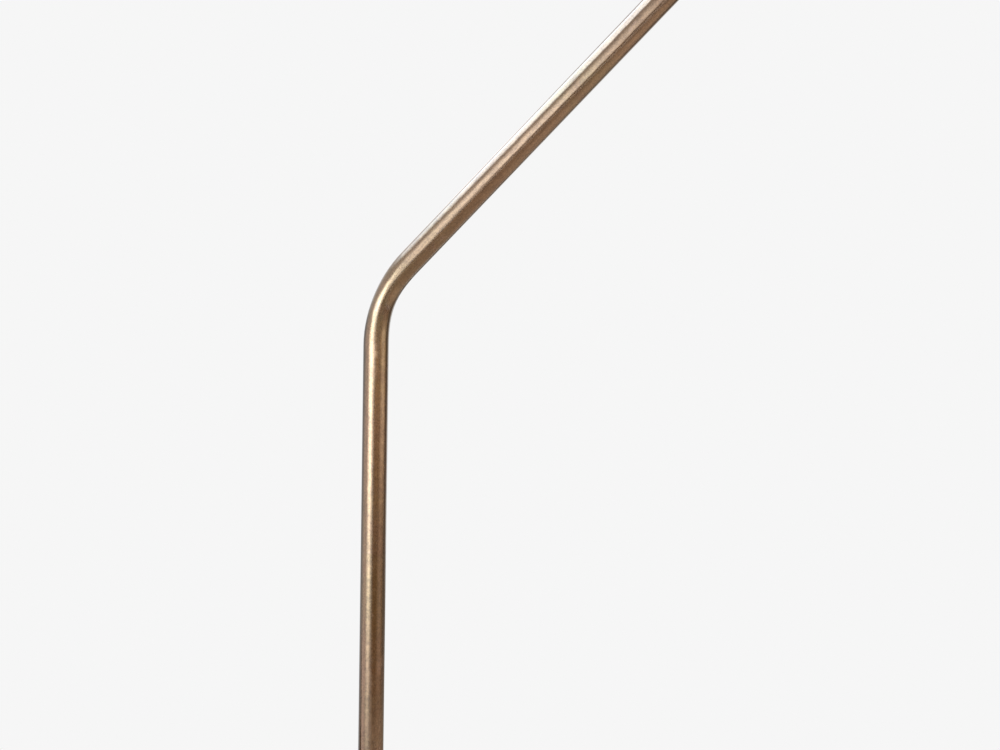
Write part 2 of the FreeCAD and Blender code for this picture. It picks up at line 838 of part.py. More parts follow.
def lap_half(piece, front, pivot_level, neck_level):
    """The half disc of a lap joint and the web to its neck, on the front or the back of the middle plane."""
    inner = d.pivot_washer_thick / 2
    web_thick = d.neck_across / 2 - d.lap_edge - inner
    disc_depth, web_depth = (inner, inner) if front else (-inner - d.lap_thick, -inner - web_thick)
    piece.pad(disc(Size(0), pivot_level, d.lap_across / 2), "XZ", disc_depth, d.lap_thick)
    low, high = sorted((pivot_level, neck_level), key=lambda level: level.value)
    piece.pad(box(Size(0), (low + high) / 2, d.web_wide, high - low), "XZ", web_depth, web_thick)


def pivot_hole(piece, level, radius):
    """The hole for the tilt screw, straight through from front to back."""
    piece.pocket(disc(Size(0), level, radius), "XZ", -d.lap_across, d.lap_across * 2)


def swivel_pieces(side, end_place, head_place):
    """The yoke that turns in one arm's ferrule, with the screw, nut and washers of the tilt joint."""
    spigot_radius = d.spigot_across / 2
    spigot_start = d.ferrule_long - d.spigot_long
    neck_radius = d.neck_across / 2
    neck_end = d.pivot_reach - d.neck_stand
    shoulder_end = d.ferrule_long + d.yoke_shoulder
    wire_exit = d.wire_exit_across / 2
    yoke = Piece(side + "_yoke", end_place)
    yoke.turn([
        (Size(0), spigot_start),
        (spigot_radius, spigot_start),
        (spigot_radius, d.ferrule_long),
        (d.ferrule_across / 2, d.ferrule_long),
        (d.ferrule_across / 2, shoulder_end),
        (neck_radius, shoulder_end + d.yoke_cone),
        (neck_radius, neck_end),
        (Size(0), neck_end),
    ])
    lap_half(yoke, True, d.pivot_reach, neck_end - d.lap_edge)
    stop_groove(yoke, spigot_radius, d.turn_screw_up, turn_screw_radius, d.turn_angle)
    side_level = d.ferrule_long + wire_exit + d.groove_slack
    side_end = side_level + wire_exit + d.lap_edge
    yoke.groove([
        (Size(0), spigot_start),
        (wire_hole, spigot_start),
        (wire_hole, side_end),
        (Size(0), side_end),
    ])
    yoke.pocket(disc(Size(0), side_level, wire_exit), "XZ", -d.ferrule_across / 2, d.ferrule_across / 2)
    pivot_hole(yoke, d.pivot_reach, d.pivot_across / 2 + d.fit_gap)

    stack = d.pivot_washer_thick / 2 + d.lap_thick + d.pivot_washer_thick
    pivot_radius = d.pivot_across / 2
    screw = Piece(side + "_tilt_screw", head_place)
    head_radius = d.screw_head_across / 2
    head_skirt = d.screw_head_high * HEAD_SKIRT
    screw.turn([
        (-stack - d.screw_head_high, Size(0), dome_radius(head_radius, d.screw_head_high - head_skirt)),
        (stack + d.pivot_nut_skirt, Size(0)),
        (stack + d.pivot_nut_skirt, pivot_radius),
        (-stack, pivot_radius),
        (-stack, head_radius),
        (-stack - head_skirt, head_radius),
    ], plane="YZ", axis="H_Axis")
    screw.pocket(box(Size(0), Size(0), d.screw_slot * 2, d.screw_head_across), "XZ",
                 stack + head_skirt, d.screw_head_high)

    nut_piece = Piece(side + "_tilt_nut", head_place)
    nut_radius = d.pivot_nut_across / 2
    nut_piece.turn([
        (stack, pivot_radius + d.fit_gap),
        (stack, nut_radius),
        (stack + d.pivot_nut_skirt, nut_radius),
        (stack + d.pivot_nut_high, Size(0), -dome_radius(nut_radius, d.pivot_nut_high - d.pivot_nut_skirt)),
        (stack + d.pivot_nut_skirt + d.fit_gap, Size(0)),
        (stack + d.pivot_nut_skirt + d.fit_gap, pivot_radius + d.fit_gap),
    ], plane="YZ", axis="H_Axis")

    rings = Piece(side + "_tilt_washers", head_place)
    rings.turn(*[
        [
            (middle - d.pivot_washer_thick / 2, pivot_radius + d.run_gap),
            (middle + d.pivot_washer_thick / 2, pivot_radius + d.run_gap),
            (middle + d.pivot_washer_thick / 2, d.pivot_washer_across / 2),
            (middle - d.pivot_washer_thick / 2, d.pivot_washer_across / 2),
        ]
        for middle in (-stack + d.pivot_washer_thick / 2, Size(0), stack - d.pivot_washer_thick / 2)
    ], plane="YZ", axis="H_Axis")


# Levels of a head, measured down from its tilt pivot
cup_top = -(d.knuckle_neck_end + d.knuckle_flange)
cup_foot = cup_top - d.cup_high
holder_top = cup_top - d.holder_drop
flange_level = cup_foot + d.cup_lip
holder_foot = cup_foot - d.holder_neck
bore_top = holder_top - d.holder_floor
bulb_tip_level = bore_top - d.contact_thick
switch_level = cup_top - d.switch_drop
shade_crown = cup_foot
holder_neck_radius = d.holder_neck_across / 2
cup_radius = d.cup_across / 2


def head_pieces(side, place):
    """The knuckle, cup, lamp holder, shade, bulb and switch of one head, hung from its tilt pivot."""
    make_knuckle(side, place)
    make_cup(side, place)
    make_lamp_holder(side, place)
    make_shade(side, place)
    make_bulb(side, place)
    make_switch(side, place)


def make_knuckle(side, place):
    """The half of the lap joint that carries the cup, with its threaded tail."""
    neck_radius = d.neck_across / 2
    flange_foot = -d.knuckle_neck_end
    thread_radius = nipple_radius
    wire_exit = d.wire_exit_across / 2
    knuckle = Piece(side + "_knuckle", place)
    knuckle.turn([
        (Size(0), -d.neck_stand),
        (Size(0), cup_top - d.knuckle_thread),
        (thread_radius, cup_top - d.knuckle_thread),
        (thread_radius, cup_top),
        (d.knuckle_flange_across / 2, cup_top),
        (d.knuckle_flange_across / 2, flange_foot),
        (neck_radius, flange_foot + d.lap_edge),
        (neck_radius, -d.neck_stand),
    ])
    lap_half(knuckle, False, Size(0), -d.neck_stand - d.lap_edge)
    side_level = flange_foot + wire_exit + d.lap_edge * 2
    side_end = side_level + wire_exit + d.lap_edge
    knuckle.groove([
        (Size(0), cup_top - d.knuckle_thread),
        (d.nipple_bore / 2, cup_top - d.knuckle_thread),
        (d.nipple_bore / 2, side_end),
        (Size(0), side_end),
    ])
    knuckle.pocket(disc(Size(0), side_level, wire_exit), "XZ", Size(0), d.knuckle_flange_across / 2)
    pivot_hole(knuckle, Size(0), d.pivot_across / 2 + d.run_gap)


def make_cup(side, place):
    """The turned cup that hides the lamp holder, with a flat pad for the switch."""
    cup = Piece(side + "_holder_cup", place)
    inner = cup_radius - d.cup_wall
    inner_round = d.cup_round - d.cup_wall
    ceiling = cup_top - d.cup_crown
    cup.turn([
        (nipple_hole, cup_top),
        (nipple_hole, ceiling),
        (inner - inner_round, ceiling),
        (inner, ceiling - inner_round, -inner_round),
        (inner, flange_level),
        (cup_radius - d.cup_lip_wall, flange_level),
        (cup_radius - d.cup_lip_wall, cup_foot),
        (cup_radius, cup_foot),
        (cup_radius, cup_foot + d.cup_bead_up),
        (cup_radius, cup_foot + d.cup_bead_up + d.cup_bead * 2, d.cup_bead),
        (cup_radius, cup_top - d.cup_round),
        (cup_radius - d.cup_round, cup_top, d.cup_round),
    ])
    cup.pad(disc(Size(0), switch_level, d.pad_across / 2), "YZ", d.pad_root, d.pad_front - d.pad_root)
    switch_hole = disc(Size(0), switch_level, d.bushing_across / 2 + d.fit_gap)
    cup.pocket(switch_hole, "YZ", d.pad_root / 2, d.pad_front)


def make_lamp_holder(side, place):
    """The porcelain lamp holder with its screw shell and centre contact, and the ring under the shade."""
    holder = Piece(side + "_lamp_holder", place)
    holder_bore = d.holder_bore / 2
    holder.turn([
        (Size(0), holder_top),
        (Size(0), bore_top),
        (holder_bore, bore_top),
        (holder_bore, holder_foot),
        (holder_neck_radius, holder_foot),
        (holder_neck_radius, cup_foot),
        (cup_radius - d.cup_lip_wall - d.fit_gap, cup_foot),
        (cup_radius - d.cup_lip_wall - d.fit_gap, flange_level),
        (d.holder_body_across / 2, flange_level),
        (d.holder_body_across / 2, holder_top),
    ])

    shell = Piece(side + "_screw_shell", place)
    shell_top = bore_top - d.shell_start
    shell_outer = holder_bore - d.fit_gap
    shell.turn(tube_section(shell_outer - d.shell_wall, shell_outer, shell_top - d.shell_long, shell_top))

    contact = Piece(side + "_centre_contact", place)
    contact.turn(tube_section(Size(0), d.contact_across / 2, bulb_tip_level, bore_top))

    ring = Piece(side + "_shade_ring", place)
    ring_top = shade_crown - d.shade_skin
    ring_edge = d.lap_edge
    ring.turn([
        (holder_neck_radius + d.fit_gap, ring_top),
        (holder_neck_radius + d.fit_gap, ring_top - d.ring_high),
        (d.ring_across / 2 - ring_edge, ring_top - d.ring_high),
        (d.ring_across / 2, ring_top - d.ring_high + ring_edge),
        (d.ring_across / 2, ring_top),
    ])


def make_shade(side, place):
    """The spun shade: a flat crown, a round shoulder, a straight flare and a rolled rim, with vent holes."""
    shade = Piece(side + "_shade", place)
    crown = d.crown_across / 2
    inner_radius = d.shade_shoulder - d.shade_skin
    centre = (crown, shade_crown - d.shade_shoulder)
    way = (cosine(d.shade_flare), sine(d.shade_flare))
    outer_bend = (centre[0] + d.shade_shoulder * way[0], centre[1] + d.shade_shoulder * way[1])
    inner_bend = (centre[0] + inner_radius * way[0], centre[1] + inner_radius * way[1])
    rim_bead = d.rim_bead / 2
    rim_radius = d.shade_across / 2 - rim_bead
    flare = (rim_radius - outer_bend[0]) / way[1]
    outer_rim = (rim_radius, outer_bend[1] - flare * way[0])
    inner_rim = (outer_rim[0] - d.shade_skin * way[0], outer_rim[1] - d.shade_skin * way[1])
    hole = holder_neck_radius + d.fit_gap
    shade.turn([
        (hole, shade_crown),
        (hole, shade_crown - d.shade_skin),
        (crown, shade_crown - d.shade_skin),
        (inner_bend[0], inner_bend[1], -inner_radius),
        inner_rim,
        outer_rim,
        outer_bend,
        (crown, shade_crown, d.shade_shoulder),
    ])
    rim = shade.sketch("XZ")
    draw_circle(rim, outer_rim[0], outer_rim[1], rim_bead)
    bead = shade.body.newObject("PartDesign::Revolution", shade.name("rim"))
    bead.Profile = rim
    bead.ReferenceAxis = (rim, ["V_Axis"])
    bead.Angle = 360
    vent = shade.pocket(disc(d.vent_circle / 2, Size(0), d.vent_across / 2), "XY",
                        shade_crown - d.cup_lip, d.cup_lip * 2)
    shade.around(vent, d.vent_count)


def make_bulb(side, place):
    """The screw cap and the pear-shaped glass of the bulb."""
    cap_radius = d.bulb_cap_across / 2
    cap_foot_level = bulb_tip_level - d.bulb_cap_long
    glass_top = cap_foot_level + d.bulb_neck_in
    neck_radius = d.bulb_neck_across / 2
    tip_radius = d.bulb_tip_across / 2
    bulb_cap = Piece(side + "_bulb_cap", place)
    bulb_cap.turn([
        (Size(0), bulb_tip_level),
        (tip_radius, bulb_tip_level),
        (tip_radius, bulb_tip_level - d.bulb_tip),
        (cap_radius - d.bulb_tip, bulb_tip_level - d.bulb_tip * 3),
        (cap_radius, bulb_tip_level - d.bulb_tip * 4),
        (cap_radius, cap_foot_level),
        (cap_radius - d.bulb_cap_skin, cap_foot_level),
        (cap_radius - d.bulb_cap_skin, glass_top),
        (Size(0), glass_top),
    ])

    glass = Piece(side + "_bulb_glass", place)
    globe = d.bulb_across / 2
    globe_centre = bulb_tip_level - d.bulb_long + globe
    way = (cosine(d.bulb_cone), sine(d.bulb_cone))
    inner_globe = globe - d.bulb_skin
    inner_neck = neck_radius - d.bulb_skin
    neck_foot = cap_foot_level - d.bulb_skin
    glass.turn([
        (Size(0), globe_centre - globe),
        (globe, globe_centre, globe),
        (globe * way[0], globe_centre + globe * way[1], globe),
        (neck_radius, neck_foot),
        (neck_radius, glass_top - d.fit_gap),
        (inner_neck, glass_top - d.fit_gap),
        (inner_neck, neck_foot),
        (inner_globe * way[0], globe_centre + inner_globe * way[1]),
        (inner_globe, globe_centre, -inner_globe),
        (Size(0), globe_centre - inner_globe, -inner_globe),
    ])


def make_switch(side, place):
    """The rotary switch in the cup, its nut on the pad outside, and the knurled knob with its spindle."""
    shift = (Size(0), switch_level)
    bushing = d.bushing_across / 2
    spindle = d.spindle_across / 2
    body = Piece(side + "_switch_body", place)
    body.pad(box(Size(0), switch_level, d.switch_wide, d.switch_high), "YZ",
             d.switch_front - d.switch_deep, d.switch_deep)
    body.pad(disc(Size(0), switch_level, bushing), "YZ", d.switch_front - d.fit_gap,
             d.bushing_end - d.switch_front + d.fit_gap)
    body.pocket(disc(Size(0), switch_level, spindle + d.run_gap), "YZ", d.spindle_start - d.fit_gap,
                d.bushing_end - d.spindle_start + d.fit_gap * 2)

    nut_piece = Piece(side + "_switch_nut", place)
    nut_outline = hexagon(d.switch_nut_flats, bushing + d.fit_gap)
    nut_piece.pad(nut_outline, "YZ", d.pad_front, d.switch_nut_thick, shift)

    knob = Piece(side + "_switch_knob", place)
    knob_radius = d.knob_across / 2
    knob_end = d.knob_start + d.knob_long
    hollow = bushing + d.knob_slack
    knob.turn([
        (d.spindle_start, Size(0)),
        (d.spindle_start, spindle),
        (d.knob_start + d.knob_hollow, spindle),
        (d.knob_start + d.knob_hollow, hollow),
        (d.knob_start, hollow),
        (d.knob_start, knob_radius - d.knob_edge),
        (d.knob_start + d.knob_edge, knob_radius),
        (knob_end - d.knob_edge, knob_radius),
        (knob_end, knob_radius - d.knob_edge, -d.knob_edge),
        (knob_end, Size(0)),
    ], axis="H_Axis", shift=shift)
    knurl_start = d.knob_start + d.knob_edge * 1.5
    knurl = knob.pocket(disc(knob_radius, Size(0), d.knurl_across / 2), "YZ", knurl_start,
                        d.knob_long - d.knob_edge * 3, shift)
    knob.around(knurl, d.knurl_count, sketch_axis="N_Axis")


# The two arms and their heads: the upper one leans towards +X, the lower one towards -X

upper_end = (d.upper_run * sine(d.bend_angle), d.upper_corner + d.upper_run * cosine(d.bend_angle))
upper_pivot = (upper_end[0] + d.pivot_reach * sine(d.bend_angle),
               upper_end[1] + d.pivot_reach * cosine(d.bend_angle))
lower_end = (-d.lower_reach - d.lower_run * cosine(d.bend_angle),
             collar_middle + d.lower_run * sine(d.bend_angle))
lower_pivot = (lower_end[0] - d.pivot_reach * cosine(d.bend_angle),
               lower_end[1] + d.pivot_reach * sine(d.bend_angle))

upper_end_place = Place(upper_end[0], 0, upper_end[1], 0, d.bend_angle)
upper_head_place = Place(upper_pivot[0], 0, upper_pivot[1], 0, -d.rest_tilt)
lower_end_place = Place(lower_end[0], 0, lower_end[1], 180, 90 - d.bend_angle)
lower_head_place = Place(lower_pivot[0], 0, lower_pivot[1], 180, -d.rest_tilt)

arm_pieces("upper", Place(), upper_start, d.upper_corner, d.upper_run, upper_end_place)
lower_arm_place = Place(up=collar_middle, lean=-90)
arm_pieces("lower", lower_arm_place, lower_start, d.lower_reach, d.lower_run, lower_end_place)
swivel_pieces("upper", upper_end_place, upper_head_place)
swivel_pieces("lower", lower_end_place, lower_head_place)
head_pieces("upper", upper_head_place)
head_pieces("lower", lower_head_place)

for piece in Piece.made:
    piece.finish()
doc.recompute()

# Every object has to be sound before anything is written
for item in doc.Objects:
    if "Invalid" in item.State or "Error" in item.State:
        raise RuntimeError("%s has failed: %s" % (item.Label, item.State))
for piece in Piece.made:
    shape = piece.body.Shape
    if shape.isNull() or not shape.isValid() or not shape.Solids:
        raise RuntimeError("%s has no sound solid" % piece.label)

os.makedirs("parts", exist_ok=True)
for piece in Piece.made:
    piece.body.Shape.exportStep("parts/%s.step" % piece.label)
    print("%-24s %d solid  %10.1f mm3" % (piece.label, len(piece.body.Shape.Solids), piece.body.Shape.Volume))
print(len(Piece.made), "sub-parts")
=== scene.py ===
"""Looks of a double shade floor lamp: fine surfaces, brass, glass and porcelain, and a pale studio.

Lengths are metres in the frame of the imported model, which loads first and stays as it is.
"""

import json
import math

import bpy
import numpy as np
from bpy.props import FloatProperty, FloatVectorProperty, IntProperty, PointerProperty
from mathutils import Matrix, Vector

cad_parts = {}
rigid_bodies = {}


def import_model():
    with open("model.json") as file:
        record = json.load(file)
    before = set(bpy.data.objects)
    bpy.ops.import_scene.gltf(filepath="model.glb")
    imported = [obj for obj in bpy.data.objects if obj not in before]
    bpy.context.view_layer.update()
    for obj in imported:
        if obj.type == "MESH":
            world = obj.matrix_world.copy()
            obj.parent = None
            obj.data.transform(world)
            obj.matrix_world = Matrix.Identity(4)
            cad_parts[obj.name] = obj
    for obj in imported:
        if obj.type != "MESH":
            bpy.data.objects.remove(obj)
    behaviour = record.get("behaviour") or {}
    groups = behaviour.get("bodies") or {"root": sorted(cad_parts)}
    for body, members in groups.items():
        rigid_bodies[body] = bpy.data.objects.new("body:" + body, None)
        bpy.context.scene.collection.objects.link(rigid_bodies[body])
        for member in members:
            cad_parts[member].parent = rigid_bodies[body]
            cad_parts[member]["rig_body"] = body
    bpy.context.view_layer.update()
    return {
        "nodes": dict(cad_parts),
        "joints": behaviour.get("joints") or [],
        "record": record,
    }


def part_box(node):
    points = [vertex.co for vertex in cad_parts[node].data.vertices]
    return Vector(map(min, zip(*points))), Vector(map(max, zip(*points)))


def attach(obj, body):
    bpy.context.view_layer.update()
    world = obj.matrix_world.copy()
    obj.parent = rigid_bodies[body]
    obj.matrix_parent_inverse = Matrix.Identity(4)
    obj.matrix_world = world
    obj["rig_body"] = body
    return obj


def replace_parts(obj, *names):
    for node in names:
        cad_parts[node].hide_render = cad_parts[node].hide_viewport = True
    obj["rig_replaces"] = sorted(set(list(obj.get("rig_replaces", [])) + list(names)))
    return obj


bl_info = {
    "name": "Double shade floor lamp",
    "version": (1, 0, 0),
    "blender": (4, 5, 0),
    "location": "3D View > Sidebar > Lamp",
    "description": "Dresses the packed floor lamp with fine surfaces and finishes, and sets up its studio",
    "category": "Object",
}

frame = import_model()

SIDES = ("upper", "lower")
JOINTS = {joint["name"]: joint for joint in frame["joints"]}
SLOTS = {part["node"]: part["material_slot"] for part in frame["record"]["subparts"]}
MM = 0.001


# Settings

def colour_setting(name, description, *default):
    """A colour."""
    return FloatVectorProperty(
        name=name, description=description, subtype="COLOR", size=3, min=0, max=1, default=default)


def length_setting(name, description, default, **limits):
    """A length in metres."""
    return FloatProperty(name=name, description=description, unit="LENGTH", default=default, **limits)


def angle_setting(name, description, degrees):
    """An angle, whose default is given in degrees."""
    return FloatProperty(name=name, description=description, subtype="ANGLE", default=math.radians(degrees))


def level_setting(name, description, default, highest=1.0):
    """A share or a level from nought to a highest value."""
    return FloatProperty(
        name=name, description=description, subtype="FACTOR", min=0, max=highest, default=default)


class FinishSettings(bpy.types.PropertyGroup):
    """Colours and gloss of the lamp's finishes."""

    brass: colour_setting("Brass", "Colour of the aged brass", 0.235, 0.148, 0.090)
    brass_olive: colour_setting("Olive patina", "Colour where the patina turns greener", 0.215, 0.150, 0.082)
    brass_brown: colour_setting(
        "Brown patina", "Colour where the patina is redder and darker", 0.200, 0.118, 0.074)
    brass_worn: colour_setting("Worn spots", "Colour where the lacquer is worn through", 0.290, 0.190, 0.140)
    brass_gloss: level_setting("Brass roughness", "Roughness of the bare brass", 0.13)
    lacquer: level_setting("Lacquer", "How much clear lacquer lies over the brass", 1.0)
    enamel: colour_setting("Enamel", "Colour of the enamel inside the shades", 0.83, 0.82, 0.79)
    opal: colour_setting("Opal glass", "Colour of the unlit bulb", 0.86, 0.85, 0.82)


class ShapeSettings(bpy.types.PropertyGroup):
    """How finely the new surfaces are drawn, and the lines that they follow."""

    around: IntProperty(name="Around", description="Points round a turned piece", min=24, default=96)
    step: length_setting("Step", "Longest run along a bent tube", 0.003, min=0.0005, max=0.02)
    edge: length_setting("Edge", "Radius of a broken edge", 0.0002, min=0.00005, max=0.001)
    rest_tilt: angle_setting("Rest tilt", "How far each head leans outwards at rest", 20)
    bend_angle: angle_setting("Bend", "How far each arm's tube is bent", 45)
    bend_radius: length_setting("Bend radius", "Radius of the bend to the middle of the tube", 0.055)
    bend_flat: level_setting(
        "Bend flatness", "Share of its width that a tube loses half way round its bend", 0.10, 0.3)
    upper_corner: length_setting("Upper corner", "Height where the straights of the upper arm meet", 1.060)
    lower_corner: length_setting("Lower corner", "From the stem to the corner of the lower arm", 0.080)
    upper_run: length_setting("Upper run", "From the upper arm's corner to the end of its tube", 0.540)
    lower_run: length_setting("Lower run", "From the lower arm's corner to the end of its tube", 0.330)


class StudioSettings(bpy.types.PropertyGroup):
    """Camera, background and lights."""

    background: level_setting("Background", "Level of the plain background", 0.922)
    ambient: level_setting("Ambient", "Level of the room on matt surfaces", 0.46, 2.0)
    lens: FloatProperty(name="Lens", description="Focal length", unit="CAMERA", default=46.368)
    azimuth: angle_setting("Azimuth", "Direction of the camera round the lamp", 14.70)
    elevation: angle_setting("Elevation", "Height of the camera above the horizon", 0.58)
    roll: angle_setting("Roll", "Turn of the camera about its own line of sight", 0.81)
    distance: length_setting("Distance", "From the bend to the camera", 0.6113)
    aside: length_setting("Aside", "How far the camera stands to the right of the bend", 0.05902)
    rise: length_setting("Rise", "How far the camera stands above the bend", -0.03624)
    floor_radius: length_setting("Floor", "Radius of the floor", 2.6)


# Shader wiring

def operation(name, swapped=False):
    """A method for an operator, which adds one Math node."""
    def method(self, other):
        values = (other, self) if swapped else (self, other)
        return self.finish.math(name, *values)
    return method


class Signal:
    """A socket in an expression: each operator adds one Math node, with numbers allowed on either side."""

    def __init__(self, finish, socket):
        self.finish = finish
        self.socket = socket

    __add__ = __radd__ = operation("ADD")
    __mul__ = __rmul__ = operation("MULTIPLY")
    __sub__ = operation("SUBTRACT")
    __rsub__ = operation("SUBTRACT", swapped=True)
    __truediv__ = operation("DIVIDE")


class Finish:
    """The node tree of one material or of the world."""

    def __init__(self, owner):
        self.owner = owner
        owner.use_nodes = True
        self.tree = owner.node_tree
        self.tree.nodes.clear()

    def add(self, kind, set_first=None, inputs=None, output=0):
        """Adds a node, its settings first, then its inputs by name or number, and gives one output."""
        node = self.tree.nodes.new(kind)
        for key, value in (set_first or {}).items():
            setattr(node, key, value)
        for key, value in (inputs or {}).items():
            socket = node.inputs[key]
            if isinstance(value, Signal):
                self.tree.links.new(value.socket, socket)
            else:
                socket.default_value = (*value, 1.0) if socket.type == "RGBA" else value
        return Signal(self, node.outputs[output]) if node.outputs else None

    def math(self, kind, *values):
        """A Math node on signals and numbers."""
        return self.add("ShaderNodeMath", {"operation": kind}, dict(enumerate(values)))

    def vector(self, kind, first, second):
        """A Vector Math node on two places."""
        return self.add("ShaderNodeVectorMath", {"operation": kind}, {0: first, 1: second})

    def mix(self, factor, first, second):
        """A blend from the first colour to the second."""
        return self.add("ShaderNodeMix", {"data_type": "RGBA"}, {0: factor, 6: first, 7: second}, 2)

    def between(self, signal, low, high):
        """Nought below low, one above high and a smooth rise in between."""
        return self.add("ShaderNodeMapRange", {"interpolation_type": "SMOOTHSTEP"},
                        {"Value": signal, "From Min": low, "From Max": high})

    def place(self):
        """Where a point lies, in metres in the lamp's own frame."""
        return self.add("ShaderNodeTexCoord", output="Object")

    def noise(self, place, size, detail=2.0, rough=0.5, distort=0.0):
        """Soft noise whose lumps are about this size in metres."""
        return self.add("ShaderNodeTexNoise", {}, {
            "Vector": place,
            "Scale": 1.0 / size,
            "Detail": detail,
            "Roughness": rough,
            "Distortion": distort,
        })

    def bump(self, height, depth):
        """The normal bent by a height, one of which is this deep in metres."""
        return self.add("ShaderNodeBump", {}, {"Height": height, "Distance": depth, "Strength": 1.0})

    def surface(self, inputs):
        """A Principled surface put on the material's output."""
        shader = self.add("ShaderNodeBsdfPrincipled", {}, inputs)
        self.add("ShaderNodeOutputMaterial", {}, {"Surface": shader})
        return self.owner

    def veil(self, share, shader):
        """A shader laid by a share over what is behind the surface, put on the material's output."""
        clear = self.add("ShaderNodeBsdfTransparent")
        blend = self.add("ShaderNodeMixShader", {}, {0: share, 1: clear, 2: shader})
        self.add("ShaderNodeOutputMaterial", {}, {"Surface": blend})
        return self.owner


def new_finish(name):
    """A Finish on a new material."""
    return Finish(bpy.data.materials.new(name))


def tinted(colour, *factors):
    """A colour times one factor, or each of its parts times its own."""
    return tuple(np.multiply(colour, factors))


# Finishes

def aged_brass(finish, place, waves=0.03, marks=None):
    """Aged brass: a base colour that drifts from olive to brown, fine mottling, and lacquer over it.

    Waves are the depth, in millimetres, of the shallow dents that hand rubbing leaves. Marks are rings, the
    faint traces of turning drawn by noise along the second part of the UV map, or streaks, noise on the
    straightened shape of a tube, stretched along it, with a few worn spots.
    """
    colours = bpy.context.scene.lamp_finish
    patch_shift = (0.05, 0.23, 0.40)
    patches = finish.vector("ADD", place, patch_shift)
    olive = finish.between(finish.noise(patches, 0.034, 2.0, 0.55), 0.42, 0.62)
    brown = finish.between(finish.noise(patches, 0.017, 2.0, 0.6, 0.4), 0.50, 0.72)
    mottle = finish.noise(place, 0.0032, 4.0, 0.62)
    specks = finish.between(finish.noise(place, 0.0009, 3.0, 0.7), 0.60, 0.80)
    colour = finish.mix(olive, colours.brass, colours.brass_olive)
    colour = finish.mix(brown * 0.75, colour, colours.brass_brown)
    dark = tinted(colours.brass_brown, 0.62)
    colour = finish.mix(finish.between(mottle, 0.45, 0.80) * 0.34, colour, dark)
    colour = finish.mix(specks * 0.22, colour, dark)
    rough = colours.brass_gloss + (mottle - 0.5) * 0.10 + brown * 0.04 + specks * 0.06
    height = finish.noise(place, 0.0062, 1.0, 0.4) * waves + mottle * 0.0014
    if marks == "streaks":
        straightened = finish.add("ShaderNodeAttribute", {"attribute_name": "straightened"}, output="Vector")
        streaks = finish.noise(finish.vector("MULTIPLY", straightened, (1, 1, 0.09)), 0.0007, 2.0, 0.6)
        ridges = finish.noise(finish.vector("MULTIPLY", straightened, (1, 1, 0.03)), 0.0016, 2.0, 0.6)
        light = tinted(colours.brass, 1.25)
        colour = finish.mix(finish.between(streaks, 0.52, 0.72) * 0.60, colour, dark)
        colour = finish.mix(finish.between(streaks, 0.46, 0.28) * 0.55, colour, light)
        worn = finish.between(finish.noise(patches, 0.011, 3.0, 0.65, 0.8), 0.63, 0.70)
        colour = finish.mix(worn * 0.7, colour, colours.brass_worn)
        grain = finish.noise(place, 0.0008, 2.0, 0.8)
        colour = finish.mix(finish.between(grain, 0.49, 0.64) * 0.50, colour, dark)
        colour = finish.mix(finish.between(grain, 0.51, 0.36) * 0.45, colour, light)
        rough = rough + (streaks - 0.5) * 0.14 + worn * 0.10 + (grain - 0.5) * 0.08
        height = height + streaks * 0.003 + ridges * 0.012
    if marks == "rings":
        along = finish.add("ShaderNodeSeparateXYZ", {}, {0: finish.add("ShaderNodeUVMap")}, 1)
        rings = finish.add("ShaderNodeTexNoise", {"noise_dimensions": "1D"},
                           {"W": along, "Scale": 1600.0, "Detail": 3.0, "Roughness": 0.75})
        rough = rough + (rings - 0.5) * 0.20
        height = height + rings * 0.006
    return finish.surface({
        "Base Color": colour,
        "Metallic": 1.0,
        "Roughness": finish.math("MAXIMUM", rough, 0.05),
        "Normal": finish.bump(height, MM),
        "Coat Weight": colours.lacquer,
        "Coat Roughness": 0.09,
        "Coat IOR": 1.5,
    })


def plain_metal(finish, place, colour, rough):
    """Plated or bare metal with fine handling marks."""
    marks = finish.noise(place, 0.0006, 4.0, 0.7)
    stain = finish.between(finish.noise(place, 0.006, 3.0, 0.6), 0.40, 0.75)
    return finish.surface({
        "Base Color": finish.mix(stain * 0.35, colour, tinted(colour, 0.72)),
        "Metallic": 1.0,
        "Roughness": rough + (marks - 0.5) * 0.20,
        "Normal": finish.bump(marks, 0.006 * MM),
    })


def cast_iron(finish, place):
    """Painted casting with a sandy skin."""
    sand = finish.noise(place, 0.0013, 5.0, 0.7)
    worn = finish.between(finish.noise(place, 0.012, 3.0), 0.55, 0.75)
    return finish.surface({
        "Base Color": finish.mix(worn, (0.030, 0.030, 0.032), (0.075, 0.068, 0.062)),
        "Roughness": 0.55 + sand * 0.25,
        "Normal": finish.bump(sand, 0.25 * MM),
    })


def felt(finish, place):
    """Pressed wool: short crossing fibres in dark green."""
    fibres = finish.noise(place, 0.0006, 5.0, 0.8, 1.6)
    tufts = finish.noise(place, 0.004, 3.0, 0.6)
    return finish.surface({
        "Base Color": finish.mix(fibres, (0.012, 0.020, 0.014), (0.060, 0.085, 0.064)),
        "Roughness": 0.92,
        "Sheen Weight": 0.35,
        "Sheen Roughness": 0.5,
        "Normal": finish.bump(fibres + tufts * 0.6, 0.3 * MM),
    })


def moulded(finish, place, colour, rough):
    """Moulded plastic or rubber with a fine eroded skin."""
    skin = finish.noise(place, 0.0004, 3.0, 0.6)
    cloud = finish.noise(place, 0.008, 2.0)
    return finish.surface({
        "Base Color": finish.mix(cloud, tinted(colour, 0.86), colour),
        "Roughness": rough + (skin - 0.5) * 0.22,
        "Normal": finish.bump(skin, 0.02 * MM),
    })


